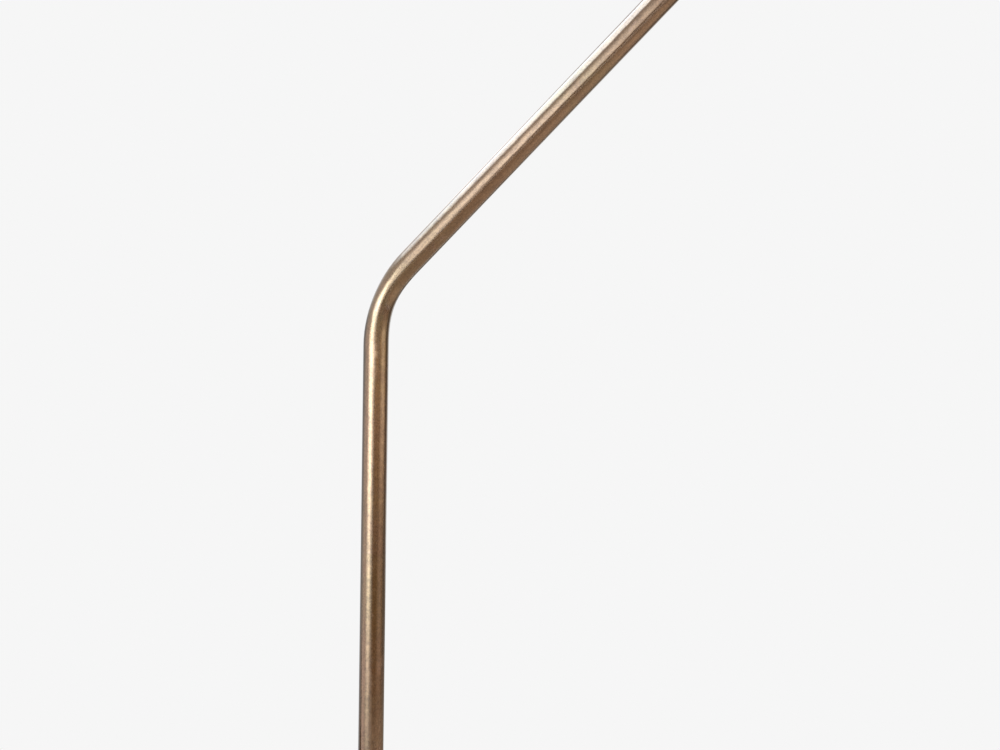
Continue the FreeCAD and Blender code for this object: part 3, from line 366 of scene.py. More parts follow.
def porcelain(finish, place):
    """White glaze over porcelain, with a few pin specks."""
    pool = finish.noise(place, 0.010, 2.0)
    specks = finish.between(finish.noise(place, 0.0011, 2.0, 0.6), 0.70, 0.76)
    body = finish.mix(pool, (0.78, 0.775, 0.75), (0.84, 0.835, 0.81))
    return finish.surface({
        "Base Color": finish.mix(specks * 0.5, body, (0.45, 0.40, 0.33)),
        "Roughness": 0.16 + pool * 0.10,
        "Normal": finish.bump(pool, 0.05 * MM),
        "Coat Weight": 0.6,
        "Coat Roughness": 0.05,
    })


def enamel(finish, place):
    """White baked enamel inside the shades, with a slight orange peel."""
    white = bpy.context.scene.lamp_finish.enamel
    peel = finish.noise(place, 0.0018, 2.0, 0.5)
    return finish.surface({
        "Base Color": finish.mix(finish.noise(place, 0.03, 2.0), white, tinted(white, 0.97, 0.955, 0.92)),
        "Roughness": 0.30 + peel * 0.10,
        "Normal": finish.bump(peel, 0.03 * MM),
    })


def opal_glass(finish, place):
    """Unlit opal glass: a white body under a clear gloss, a little uneven as blown glass is."""
    white = bpy.context.scene.lamp_finish.opal
    flow = finish.noise(place, 0.025, 2.0, 0.5, 0.3)
    return finish.surface({
        "Base Color": finish.mix(flow, white, tinted(white, 0.96)),
        "Roughness": 0.10 + flow * 0.06,
        "Subsurface Weight": 0.15,
        "Subsurface Radius": (0.004, 0.004, 0.004),
        "Subsurface Scale": 1.0,
        "Normal": finish.bump(flow, 0.2 * MM),
        "Coat Weight": 0.5,
        "Coat Roughness": 0.03,
    })


FINISHES = {}


def finish_of(name):
    """The finish of a slot in the record, or one of three that only surfaces made here use."""
    if not FINISHES:
        makers = {
            "aged_brass": (aged_brass,),
            "tube_brass": (aged_brass, 0.17, "streaks"),
            "spun_brass": (aged_brass, 0.02, "rings"),
            "cast_iron": (cast_iron,),
            "felt": (felt,),
            "steel_parts": (plain_metal, (0.47, 0.47, 0.48), 0.34),
            "black_rubber": (moulded, (0.018, 0.018, 0.019), 0.62),
            "lead_sleeve": (moulded, (0.045, 0.040, 0.036), 0.50),
            "nylon": (moulded, (0.66, 0.63, 0.56), 0.40),
            "porcelain": (porcelain,),
            "contact_metal": (plain_metal, (0.62, 0.47, 0.24), 0.24),
            "bulb_cap_metal": (plain_metal, (0.66, 0.66, 0.68), 0.26),
            "opal_glass": (opal_glass,),
            "switch_plastic": (moulded, (0.022, 0.022, 0.023), 0.42),
            "enamel": (enamel,),
        }
        for key, (make, *options) in makers.items():
            finish = new_finish(key)
            FINISHES[key] = make(finish, finish.place(), *options)
    return FINISHES[name]


# Surfaces

def arc(centre, radius, start, end, count):
    """Points on a circle of the profile plane, from one angle to another in degrees, both ends included."""
    angles = np.radians(np.linspace(start, end, count))
    return np.stack([centre[0] + radius * np.cos(angles), centre[1] + radius * np.sin(angles)], axis=1)


def bulge(start, end, bend, count):
    """Points of the arc from start to end with this radius, which turns left where the radius is positive.

    Its centre lies on the chord's middle line, √(bend² - (chord / 2)²) from the chord.
    """
    start, end = np.array(start), np.array(end)
    chord = end - start
    half = np.linalg.norm(chord) / 2
    left = np.array([-chord[1], chord[0]]) / (2 * half) * math.copysign(1, bend)
    centre = (start + end) / 2 + left * math.sqrt(max(bend * bend - half * half, 0))
    first, last = (math.degrees(math.atan2(*(point - centre)[::-1])) for point in (start, end))
    if bend > 0 and last < first:
        last += 360
    if bend < 0 and last > first:
        last -= 360
    return arc(centre, abs(bend), first, last, count)


def soften(corners, count=4):
    """A profile whose corners (radius, level, edges) are rounded by an arc of that many broken edges.

    The arc touches both sides at radius · tan(turn / 2) from the corner, where the profile turns by turn.
    """
    broken = bpy.context.scene.lamp_shape.edge
    points = [np.array(corner[:2], float) for corner in corners]
    made = []
    for number, corner in enumerate(corners):
        edge = corner[2] * broken if len(corner) > 2 else 0.0
        here, before, after = points[number], points[number - 1], points[(number + 1) % len(points)]
        arrive, leave = here - before, after - here
        lengths = np.linalg.norm(arrive), np.linalg.norm(leave)
        arrive, leave = arrive / lengths[0], leave / lengths[1]
        turn = math.acos(max(-1.0, min(1.0, float(arrive @ leave))))
        if edge <= 0 or turn < 0.02:
            made.append(here[None])
            continue
        reach = min(edge * math.tan(turn / 2), 0.45 * min(lengths))
        edge = reach / math.tan(turn / 2)
        side = math.copysign(1.0, arrive[0] * leave[1] - arrive[1] * leave[0])
        inward = np.array([-arrive[1], arrive[0]]) * side
        centre = here - arrive * reach + inward * edge
        share = np.linspace(0, turn, count)[:, None]
        made.append(centre - inward * edge * np.cos(share) + arrive * edge * np.sin(share))
    return np.concatenate(made)


def pipe(bore, radius, start, end, edges=1):
    """The profile of a tube with broken edges, or of a rod where its bore is nought."""
    inner = edges if bore else 0
    return soften([(bore, start, inner), (radius, start, edges), (radius, end, edges), (bore, end, inner)])


def refine(profile, step, closed):
    """The profile with points added, so that no side is longer than a step."""
    ends = np.roll(profile, -1, axis=0) if closed else profile[1:]
    made = []
    for start, end in zip(profile, ends):
        count = max(1, math.ceil(np.linalg.norm(end - start) / step))
        made.append(start + (end - start) * (np.arange(count) / count)[:, None])
    if not closed:
        made.append(profile[-1:])
    return np.concatenate(made)


def profile_normals(profile, closed):
    """Normals of a profile that turns left round its inside: the sides' own, weighted by their lengths."""
    sides = np.roll(profile, -1, axis=0) - profile
    before = np.roll(sides, 1, axis=0)
    if not closed:
        sides[-1] = sides[-2]
        before[0] = sides[0]
    along = sides + before
    normals = np.stack([along[:, 1], -along[:, 0]], axis=1)
    return normals / np.linalg.norm(normals, axis=1)[:, None]


def straight(origin=(0, 0, 0), axis=(0, 0, 1), across=(1, 0, 0)):
    """A straight way: its point at a distance along is the origin plus that much of the axis."""
    origin, axis, across = (np.array(item, float) for item in (origin, axis, across))

    def way(along):
        spokes = (np.tile(item, (len(along), 1)) for item in (across, np.cross(axis, across), axis))
        return origin + along[:, None] * axis, *spokes
    return way


def bent(origin, axis, towards, corner, radius, angle, press=(0.0, 0.0)):
    """A way that runs along an axis, turns by an angle towards another direction and runs on.

    The setback of the bend from its corner is radius · tan(angle / 2). Within the bend the direction is
    axis · cos(turn) + towards · sin(turn), and the centre line is that direction's integral. Bending presses
    a tube a little flat: half way round, its width in the plane of the bend is less by the first share of
    press and its middle lies outwards by the second, in metres, both growing as sin²(pi · turn / angle).
    """
    origin, axis, towards = (np.array(item, float) for item in (origin, axis, towards))
    bend_start = corner - radius * math.tan(angle / 2)
    across = np.cross(axis, towards)

    def way(along):
        turn = np.clip((along - bend_start) / radius, 0, angle)[:, None]
        before = np.minimum(along, bend_start)[:, None]
        after = np.maximum(along - bend_start - radius * angle, 0)[:, None]
        tangents = axis * np.cos(turn) + towards * np.sin(turn)
        centres = origin + axis * (before + radius * np.sin(turn)) + towards * (radius * (1 - np.cos(turn)))
        inward = towards * np.cos(turn) - axis * np.sin(turn)
        pressed = np.sin(math.pi * turn / angle) ** 2
        centres = centres + tangents * after - inward * press[1] * pressed
        return centres, inward * (1 - press[0] * pressed), np.tile(across, (len(along), 1)), tangents
    return way


def grid_normals(points, closed):
    """Normals of a grid whose columns go all the way round: steps round it crossed with steps along it."""
    around = np.roll(points, -1, axis=1) - np.roll(points, 1, axis=1)
    along = np.roll(points, -1, axis=0) - np.roll(points, 1, axis=0)
    if not closed:
        along[0], along[-1] = points[1] - points[0], points[-1] - points[-2]
    normals = np.cross(around, along)
    return normals / np.maximum(np.linalg.norm(normals, axis=-1, keepdims=True), 1e-12)


def grid_faces(rows, columns, closed):
    """Four-sided faces between the rows of a grid whose columns go all the way round."""
    here = np.arange(rows * columns).reshape(rows, columns)
    right = np.roll(here, -1, axis=1)
    faces = np.stack([here, right, np.roll(right, -1, axis=0), np.roll(here, -1, axis=0)], axis=-1)
    return (faces if closed else faces[:-1]).reshape(-1, 4)


def new_object(name, data):
    """An object at the origin, linked to the scene."""
    item = bpy.data.objects.new(name, data)
    bpy.context.scene.collection.objects.link(item)
    return item


def new_mesh(name, points, faces, uv=None):
    """A mesh from an array of points and arrays of faces, with a UV place for each point."""
    mesh = bpy.data.meshes.new(name)
    corner_lists = [face for group in faces for face in group.tolist()]
    mesh.from_pydata(points.reshape(-1, 3).tolist(), [], corner_lists)
    if uv is not None:
        corners = np.concatenate([group.ravel() for group in faces])
        layer = mesh.uv_layers.new(name="UVMap")
        layer.data.foreach_set("uv", uv.reshape(-1, 2)[corners].astype(np.float32).ravel())
    return mesh


def new_piece(name, points, faces, uv, finishes, normals=None, finish_index=None, straightened=None):
    """A piece from arrays of points and faces, turned outwards if its volume is negative.

    A face's share of the volume is a sixth of its corners' triple product, summed over its triangles.
    """
    split = np.concatenate([
        group[:, [0, number, number + 1]] for group in faces for number in range(1, group.shape[1] - 1)])
    corners = points[split]
    if (corners[:, 0] * np.cross(corners[:, 1], corners[:, 2])).sum() < 0:
        faces = [group[:, ::-1] for group in faces]
    mesh = new_mesh(name, points, faces, uv)
    mesh.shade_smooth()
    if straightened is not None:
        attribute = mesh.attributes.new("straightened", "FLOAT_VECTOR", "POINT")
        attribute.data.foreach_set("vector", straightened.astype(np.float32).ravel())
    for finish in finishes:
        mesh.materials.append(finish_of(finish))
    if finish_index is not None:
        mesh.polygons.foreach_set("material_index", finish_index.astype(np.int32))
    if mesh.validate(clean_customdata=False):
        raise RuntimeError("the mesh of %s wasn't sound" % name)
    if normals is None:
        mesh.set_sharp_from_angle(angle=math.radians(35))
    else:
        mesh.normals_split_custom_set_from_vertices(normals.astype(np.float32))
    return new_object(name, mesh)


def settle(piece, node):
    """Makes a piece ride on the body of a CAD node and stand for it."""
    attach(piece, frame["nodes"][node]["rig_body"])
    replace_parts(piece, node)


def turned_part(node, profile, way=None, around=None, step=None, finish=None, ripple=None):
    """A profile of (radius, along) carried round a way, which stands for one CAD node.

    A point is centre(along) + radius · (cos(turn) · across + sin(turn) · side). A profile that starts and
    ends on the axis closes in a pole at each end, and any other closes on itself. A ripple (count, depth,
    low, high) takes depth · (1 - cos(count · turn)) / 2 off the radius of outward points between two
    distances along, and each of its ridges has eight points round it.
    """
    profile = np.asarray(profile, float)
    closed = profile[[0, -1], 0].max() > 1e-7
    ends = np.roll(profile, -1, axis=0)
    if (profile[:, 0] * ends[:, 1] - ends[:, 0] * profile[:, 1]).sum() < 0:
        profile = profile[::-1]
    if step:
        profile = refine(profile, step, closed)
    outward = profile_normals(profile, closed)
    radius, along = profile.T
    centres, across, side, tangents = (way or straight())(along)
    if ripple:
        count, depth, low, high = ripple
        around = 8 * count
    around = around or bpy.context.scene.lamp_shape.around
    turn = np.linspace(0, 2 * math.pi, around, endpoint=False)
    reach = np.repeat(radius[:, None], around, axis=1)
    if ripple:
        mask = (along > low) & (along < high) & (outward[:, 0] > 0.5)
        reach = reach - depth * mask[:, None] * (1 - np.cos(count * turn)) / 2
    spoke = across[:, None] * np.cos(turn)[:, None] + side[:, None] * np.sin(turn)[:, None]
    points = centres[:, None] + reach[..., None] * spoke
    travelled = np.concatenate([[0], np.cumsum(np.linalg.norm(np.diff(profile, axis=0), axis=1))])
    uv = np.stack(np.broadcast_arrays(turn / (2 * math.pi), travelled[:, None]), axis=-1)
    straightened = np.stack(np.broadcast_arrays(
        reach * np.cos(turn), reach * np.sin(turn), along[:, None]), axis=-1)
    grids = points, grid_normals(points, closed), uv, straightened
    rows = slice(None) if closed else slice(1, -1)
    points, normals, uv, straightened = (grid[rows].reshape(-1, grid.shape[-1]) for grid in grids)
    faces = [grid_faces(len(points) // around, around, closed)]
    if not closed:
        column = np.arange(around)
        after = (column + 1) % around
        last = len(points) - around
        first_pole, last_pole = (np.full(around, len(points) + number) for number in (0, 1))
        faces.append(np.stack([first_pole, after, column], axis=1))
        faces.append(np.stack([last_pole, last + column, last + after], axis=1))
        poles = [0, -1]
        points = np.concatenate([points, centres[poles]])
        normals = np.concatenate([normals, tangents[poles] * np.sign(outward[poles, 1:])])
        uv = np.concatenate([uv, [(0, travelled[pole]) for pole in poles]])
        straightened = np.concatenate([straightened, [(0, 0, along[pole]) for pole in poles]])
    name = node.replace("_", "-")
    piece = new_piece(name, points, faces, uv, (finish or SLOTS[node],), None if ripple else normals,
                      straightened=straightened)
    settle(piece, node)


# Sizes repeated from the part's source

# How far a fitted piece stands clear of what it fits, and the sizes of the tubes and leads
FIT = 0.00003
STEM_RADIUS, STEM_BORE = 0.008, 0.0065
STEM_START, STEM_END = (corner.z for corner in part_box("lower_stem"))
TUBE_RADIUS, TUBE_BORE = 0.006, 0.005
LEAD_RADIUS = 0.0019

# Cup, lamp holder and switch, with levels measured up from the head's tilt pivot
CUP_TOP = -0.032
CUP_FOOT = -0.092
CUP_LIP = 0.005
CUP_BORE = 0.0225
HOLDER_TOP = CUP_TOP - 0.030
HOLDER_NECK = 0.018
HOLDER_FLOOR = 0.012
SWITCH_LEVEL = -0.052

# Shade, with the flare's angle in degrees; its rim is drawn a hair small, to stay inside the CAD box
SHADE_SKIN = 0.0008
CROWN_HOLE = HOLDER_NECK + FIT
CROWN_RADIUS = 0.026
SHOULDER_RADIUS = 0.060
FLARE_ANGLE = 20.0
SHADE_RADIUS = 0.105
RIM_BEAD = 0.0016
RIM_RADIUS = SHADE_RADIUS - RIM_BEAD - 0.002 * MM
VENTS = 12
VENT_RADIUS = 0.0025
VENT_CIRCLE = 0.033

# How the patch round a vent is drawn: its reach from the vent's middle, points on a side and rings
VENT_REACH = 0.0045
PATCH_SIDE = 16
PATCH_RINGS = 6

# Which of a shade's two finishes a face has
OUTSIDE, INSIDE = 0, 1


# Places on the lamp

def head_axes(side):
    """The pivot, the outward direction and the upward direction of a head at rest."""
    tilt = bpy.context.scene.lamp_shape.rest_tilt
    sign = 1.0 if side == "upper" else -1.0
    pivot = np.array(JOINTS[side + "_tilt"]["pos_m"])
    outward = np.array([sign * math.cos(tilt), 0, math.sin(tilt)])
    upward = np.array([-sign * math.sin(tilt), 0, math.cos(tilt)])
    return pivot, outward, upward


def head_way(side):
    """Up the axis of a head, measured from its tilt pivot."""
    pivot, outward, upward = head_axes(side)
    return straight(pivot, upward, outward)


def knob_way(side):
    """Outwards from the axis of a head, through its switch."""
    pivot, outward, upward = head_axes(side)
    return straight(pivot + upward * SWITCH_LEVEL, outward, upward)


def arm_way(side, press=(0.0, 0.0)):
    """Along the middle of an arm's tube, measured from the floor or from the stem's axis."""
    shape = bpy.context.scene.lamp_shape
    bend = shape.bend_radius, shape.bend_angle, press
    if side == "upper":
        return bent((0, 0, 0), (0, 0, 1), (1, 0, 0), shape.upper_corner, *bend)
    level = JOINTS["lower_swing"]["pos_m"][2]
    return bent((0, 0, level), (-1, 0, 0), (0, 0, 1), shape.lower_corner, *bend)


def arm_start(node):
    """How far along its arm's middle a tube or lead starts, from the node's box."""
    low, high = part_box(node)
    return low.z if node.startswith("upper") else -high.x


def arm_end(side):
    """How far along an arm's middle its tube ends.

    The bend takes a setback of radius · tan(angle / 2) off both straights and adds radius · angle.
    """
    shape = bpy.context.scene.lamp_shape
    upper = shape.upper_corner + shape.upper_run
    straights = upper if side == "upper" else shape.lower_corner + shape.lower_run
    return straights + shape.bend_radius * (shape.bend_angle - 2 * math.tan(shape.bend_angle / 2))


# Operators

class LampOperator:
    """What the lamp's operators share."""

    bl_options = {"REGISTER", "UNDO"}


class LAMP_OT_base(LampOperator, bpy.types.Operator):
    """Felt, bush and turned foot of the stem"""

    bl_idname = "lamp.base"
    bl_label = "Base"

    def execute(self, context):
        low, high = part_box("base_felt")
        turned_part("base_felt", pipe(0, high.x, 0, high.z, 3), around=192)

        low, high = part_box("stem_flange")
        nipple, radius, neck = 0.005, 0.022, 0.0115
        rim, bead = low.z + 0.003, high.z - 0.004
        turned_part("stem_flange", soften([
            (nipple + FIT, low.z, 1),
            (radius, low.z, 1),
            (radius, rim, 2),
            *bulge((radius, rim), (neck, bead), -0.01875, 14)[1:-1],
            *bulge((neck, bead), (neck, high.z), 0.0022, 10),
            (STEM_RADIUS + FIT, high.z, 1),
            (STEM_RADIUS + FIT, STEM_START, 1),
            (nipple + FIT, STEM_START, 1),
        ]))

        low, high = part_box("cord_bush")
        bore, wall, lip = 0.0033, 0.0011, 0.0016
        neck, rim = bore + wall, bore + 2 * wall
        turned_part("cord_bush", soften([
            (bore, low.y, 1),
            (rim, low.y, 1),
            (rim, low.y + lip, 1),
            (neck, low.y + lip, 1),
            (neck, high.y - lip, 1),
            (rim, high.y - lip, 1),
            (0.9 * rim, high.y, 2),
            (bore, high.y, 1),
        ]), straight((0, 0, (low.z + high.z) / 2), (0, 1, 0), (1, 0, 0)), around=48)
        return {"FINISHED"}


class LAMP_OT_stem(LampOperator, bpy.types.Operator):
    """Stem tube and knurled cap of the hub"""

    bl_idname = "lamp.stem"
    bl_label = "Stem and hub"

    def execute(self, context):
        turned_part("lower_stem", pipe(STEM_BORE, STEM_RADIUS, STEM_START, STEM_END))

        low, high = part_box("hub_cap")
        bore, radius, bevel = 0.0115 + FIT, 0.017, 0.0015
        ridges, depth = 48, 0.0006
        plain_foot, plain_top = low.z + 0.0014, high.z - 0.0016
        cap = soften([
            (bore, low.z, 1), (radius, low.z, 1), (radius, plain_foot, 1),
            (radius, plain_top, 1), (radius - bevel, high.z, 1), (bore, high.z, 1)])
        margin = 0.0001
        turned_part("hub_cap", cap, step=0.0008,
                    ripple=(ridges, depth, plain_foot - margin, plain_top - 2 * margin))
        return {"FINISHED"}


class LAMP_OT_arms(LampOperator, bpy.types.Operator):
    """Bent tubes of both arms and the leads inside them"""

    bl_idname = "lamp.arms"
    bl_label = "Arms"

    def execute(self, context):
        shape = context.scene.lamp_shape
        press = shape.bend_flat, shape.bend_flat * TUBE_RADIUS / 2
        for side in SIDES:
            tube, lead = side + "_tube", side + "_lead"
            end = arm_end(side)
            turned_part(tube, pipe(TUBE_BORE, TUBE_RADIUS, arm_start(tube), end), arm_way(side, press),
                        step=shape.step, finish="tube_brass")
            turned_part(lead, pipe(0, LEAD_RADIUS, arm_start(lead), end), arm_way(side),
                        step=2 * shape.step, around=24)
        return {"FINISHED"}


class LAMP_OT_holders(LampOperator, bpy.types.Operator):
    """Porcelain lamp holders and the rings under the shades"""

    bl_idname = "lamp.holders"
    bl_label = "Lamp holders"

    def execute(self, context):
        body, bore = 0.017, 0.014
        collar, collar_top = CUP_BORE - FIT, CUP_FOOT + CUP_LIP
        foot, floor = CUP_FOOT - 0.013, HOLDER_TOP - HOLDER_FLOOR
        ring_bore, ring_radius, bevel = HOLDER_NECK + FIT, 0.023, 0.0006
        ring_top = CUP_FOOT - SHADE_SKIN
        ring_foot = ring_top - 0.005
        ridges, depth = 36, 0.0005
        for side in SIDES:
            turned_part(side + "_lamp_holder", soften([
                (0, HOLDER_TOP), (body, HOLDER_TOP, 2), (body, collar_top, 1),
                (collar, collar_top, 1), (collar, CUP_FOOT, 1), (HOLDER_NECK, CUP_FOOT, 1),
                (HOLDER_NECK, foot, 4), (bore, foot, 4), (bore, floor), (0, floor),
            ]), head_way(side))
            turned_part(side + "_shade_ring", soften([
                (ring_bore, ring_top, 1), (ring_radius, ring_top, 1),
                (ring_radius, ring_foot + bevel, 1), (ring_radius - bevel, ring_foot, 1),
                (ring_bore, ring_foot, 1),
            ]), head_way(side), step=0.0006, ripple=(ridges, depth, ring_foot + 0.0007, ring_top - 0.0005))
        return {"FINISHED"}


# Shades

def shade_profile():
    """Outer skin, bead and inner skin of a shade as (radius, level), from the crown's hole to the rim.

    The crown is flat, the shoulder is an arc and the flare leaves it along a straight line. The bead is a
    circle round the end of the flare, and it meets each skin where it crosses it.
    """
    centre = np.array([CROWN_RADIUS, CUP_FOOT - SHOULDER_RADIUS])
    flare = math.radians(FLARE_ANGLE)
    away = np.array([math.cos(flare), math.sin(flare)])
    down = np.array([away[1], -away[0]])
    bend = centre + SHOULDER_RADIUS * away
    rim = bend + down * (RIM_RADIUS - bend[0]) / down[0]
    skins = []
    for inset in (0.0, SHADE_SKIN):
        shoulder = arc(centre, SHOULDER_RADIUS - inset, 90, FLARE_ANGLE, 60)
        meet = rim - away * inset - down * math.sqrt(RIM_BEAD ** 2 - inset ** 2)
        skins.append(np.concatenate([[(CROWN_HOLE, CUP_FOOT - inset)], shoulder, [meet]]))
    start, end = (math.degrees(math.atan2(*(skin[-1] - rim)[::-1])) for skin in skins)
    if end > start:
        end -= 360
    return skins[0], arc(rim, RIM_BEAD, start, end, 26), skins[1]


def stretch_of(profile, low, high):
    """The part of a profile between two radii, cut at both."""
    radius, level = profile.T
    ends = [(edge, np.interp(edge, radius, level)) for edge in (low, high)]
    middle = profile[(radius > low + 1e-5) & (radius < high - 1e-5)]
    return np.concatenate([ends[:1], middle, ends[1:]])


def vent_patch(profile):
    """Radius, turn and level of a grid from a vent's circle out to the edges of its sector of the skin.

    A ring's point is circle · (1 - share) + edge · share, and its level is the skin's at that radius.
    """
    corner = np.linspace(-1, 1, PATCH_SIDE + 1)[:-1]
    one = np.ones(PATCH_SIDE)
    square = np.concatenate([np.stack(side, axis=1) for side in (
        (one, corner), (-corner, one), (-one, -corner), (corner, -one))])
    angle = np.arctan2(square[:, 1], square[:, 0])
    circle = VENT_RADIUS * np.stack([np.cos(angle), np.sin(angle) / VENT_CIRCLE], axis=1)
    edge = square * (VENT_REACH, math.pi / VENTS)
    share = (np.linspace(0, 1, PATCH_RINGS + 1) ** 1.3)[:, None, None]
    grid = circle * (1 - share) + edge * share
    radius = VENT_CIRCLE + grid[..., 0]
    return radius, grid[..., 1], np.interp(radius, *profile.T)


class Spun:
    """Grids of (radius, turn, level) on the axis of a head, gathered into one mesh.

    A point is pivot + radius · (cos(turn) · outward + sin(turn) · across) + level · upward.
    """

    def __init__(self, side):
        self.pivot, self.outward, self.upward = head_axes(side)
        self.across = np.cross(self.upward, self.outward)
        self.points, self.quads, self.uv, self.finish = [], [], [], []

    def add(self, radius, turn, level, finish, turned=True):
        """A grid whose columns close on themselves; a turned one faces the other way."""
        radius, turn, level = np.broadcast_arrays(radius, turn, level)
        spoke = self.outward * np.cos(turn)[..., None] + self.across * np.sin(turn)[..., None]
        points = self.pivot + spoke * radius[..., None] + self.upward * level[..., None]
        quads = grid_faces(*radius.shape, False) + sum(len(item) for item in self.points)
        self.quads.append(quads[:, ::-1] if turned else quads)
        self.points.append(points.reshape(-1, 3))
        self.uv.append(np.stack([turn / (2 * math.pi), radius - level], axis=-1).reshape(-1, 2))
        self.finish.append(np.full(len(quads), finish))

    def ring(self, profile, finish):
        """A profile carried all the way round."""
        half_sector = math.pi / VENTS
        turn = np.linspace(-half_sector, 2 * math.pi - half_sector, VENTS * PATCH_SIDE, endpoint=False)
        self.add(profile[:, :1], turn, profile[:, 1:], finish)

    def piece(self, name, finishes):
        """The piece, with points that round to the same two thousandths of a millimetre made one."""
        points, uv = np.concatenate(self.points), np.concatenate(self.uv)
        keys = np.round(points / (0.002 * MM)).astype(np.int64)
        _, first, same = np.unique(keys, axis=0, return_index=True, return_inverse=True)
        quads = same.reshape(-1)[np.concatenate(self.quads)]
        return new_piece(name, points[first], [quads], uv[first], finishes,
                         finish_index=np.concatenate(self.finish))


class LAMP_OT_shades(LampOperator, bpy.types.Operator):
    """Spun shades with vents, a rolled rim and white enamel inside"""

    bl_idname = "lamp.shades"
    bl_label = "Shades"

    def execute(self, context):
        outer, bead, inner = shade_profile()
        low, high = VENT_CIRCLE - VENT_REACH, VENT_CIRCLE + VENT_REACH
        crown_out, crown_in = (stretch_of(skin, CROWN_HOLE, low) for skin in (outer, inner))
        flare_out, flare_in = (stretch_of(skin, high, skin[-1, 0]) for skin in (outer, inner))
        for side in SIDES:
            shade = Spun(side)
            shade.ring(crown_out, OUTSIDE)
            shade.ring(np.concatenate([flare_out, bead[1:]]), OUTSIDE)
            shade.ring(flare_in[::-1], INSIDE)
            shade.ring(crown_in[::-1], INSIDE)
            shade.ring(np.stack([crown_in[0], crown_out[0]]), OUTSIDE)
            for vent in range(VENTS):
                sector = vent * 2 * math.pi / VENTS
                edges = []
                for skin, finish in ((outer, OUTSIDE), (inner, INSIDE)):
                    radius, turn, level = vent_patch(skin)
                    shade.add(radius, turn + sector, level, finish, finish == OUTSIDE)
                    edges.append(level[0])
                shade.add(radius[0], turn[0] + sector, np.stack(edges), OUTSIDE, False)
            settle(shade.piece(side + "-shade", ("spun_brass", "enamel")), side + "_shade")
        return {"FINISHED"}


class LAMP_OT_bulbs(LampOperator, bpy.types.Operator):
    """Opal bulbs"""

    bl_idname = "lamp.bulbs"
    bl_label = "Bulbs"

    def execute(self, context):
        edge = context.scene.lamp_shape.edge
        contact, bulb_long, cone, skin = 0.0015, 0.105, 25.0, 0.001
        globe, neck = 0.030, 0.0125
        tip = HOLDER_TOP - HOLDER_FLOOR - contact
        middle = tip - bulb_long + globe
        neck_foot, glass_top = tip - 0.028, tip - 0.017 - FIT
        outside, inside = (
            np.concatenate([arc((0, middle), globe - inset, -90, cone, 40), [(neck - inset, neck_foot)]])
            for inset in (0, skin))
        lip = [(neck, glass_top - edge), (neck - edge, glass_top),
               (neck - skin + edge, glass_top), (neck - skin, glass_top - edge)]
        for side in SIDES:
            turned_part(side + "_bulb_glass", np.concatenate([outside, lip, inside[::-1]]), head_way(side),
                        around=128)
        return {"FINISHED"}


class LAMP_OT_switches(LampOperator, bpy.types.Operator):
    """Knurled knobs of the switches"""

    bl_idname = "lamp.switches"
    bl_label = "Switches"

    def execute(self, context):
        start, end, radius, bevel = 0.0286, 0.0416, 0.0085, 0.0012
        spindle_start, spindle = 0.011, 0.002
        hollow, hollow_end = 0.0046, start + 0.0024
        ridges, depth, margin = 24, 0.0007, 0.0004
        knob = soften([
            (0, spindle_start), (spindle, spindle_start, 1), (spindle, hollow_end),
            (hollow, hollow_end, 1), (hollow, start, 1), (radius - bevel, start, 1),
            (radius, start + bevel, 1), (radius, end - bevel, 5), (radius - bevel, end, 2),
            (0, end)])
        for side in SIDES:
            turned_part(side + "_switch_knob", knob, knob_way(side), step=0.0007,
                        ripple=(ridges, depth, start + bevel + margin, end - bevel - margin))
        return {"FINISHED"}


class LAMP_OT_machined(LampOperator, bpy.types.Operator):
    """Finishes on the CAD nodes that keep their own shape"""

    bl_idname = "lamp.machined"
    bl_label = "Machined pieces"

    def execute(self, context):
        replaced = {node for item in context.scene.objects for node in item.get("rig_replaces", [])}
        for node, item in frame["nodes"].items():
            if node in replaced:
                continue
            if not item.material_slots:
                raise RuntimeError("%s has no material slot" % node)
            for slot in item.material_slots:
                slot.link = "OBJECT"
                slot.material = finish_of(SLOTS[node])
        return {"FINISHED"}


# Studio

def reflected_card(name, points, colour, mask_of):
    """A card that only reflections see: a constant glow over what is behind it, by a mask of its UV map."""
    rows, columns = points.shape[:2]
    column, row = np.meshgrid(np.arange(columns - 1), np.arange(rows - 1))
    here = (row * columns + column).ravel()
    quads = np.stack([here, here + 1, here + columns + 1, here + columns], axis=1)
    uv = np.stack(np.broadcast_arrays(np.linspace(0, 1, columns), np.linspace(0, 1, rows)[:, None]), -1)
    finish = new_finish(name)
    place = finish.add("ShaderNodeUVMap")
    shares = [finish.add("ShaderNodeSeparateXYZ", {}, {0: place}, axis) for axis in (0, 1)]
    glow = finish.add("ShaderNodeEmission", {}, {"Color": colour, "Strength": 1.0})
    mesh = new_mesh(name, points, [quads], uv)
    mesh.materials.append(finish.veil(mask_of(finish, *shares), glow))
    card = new_object(name, mesh)
    card.visible_camera = False
    card.visible_diffuse = False
    card.visible_shadow = False
    card.visible_transmission = False


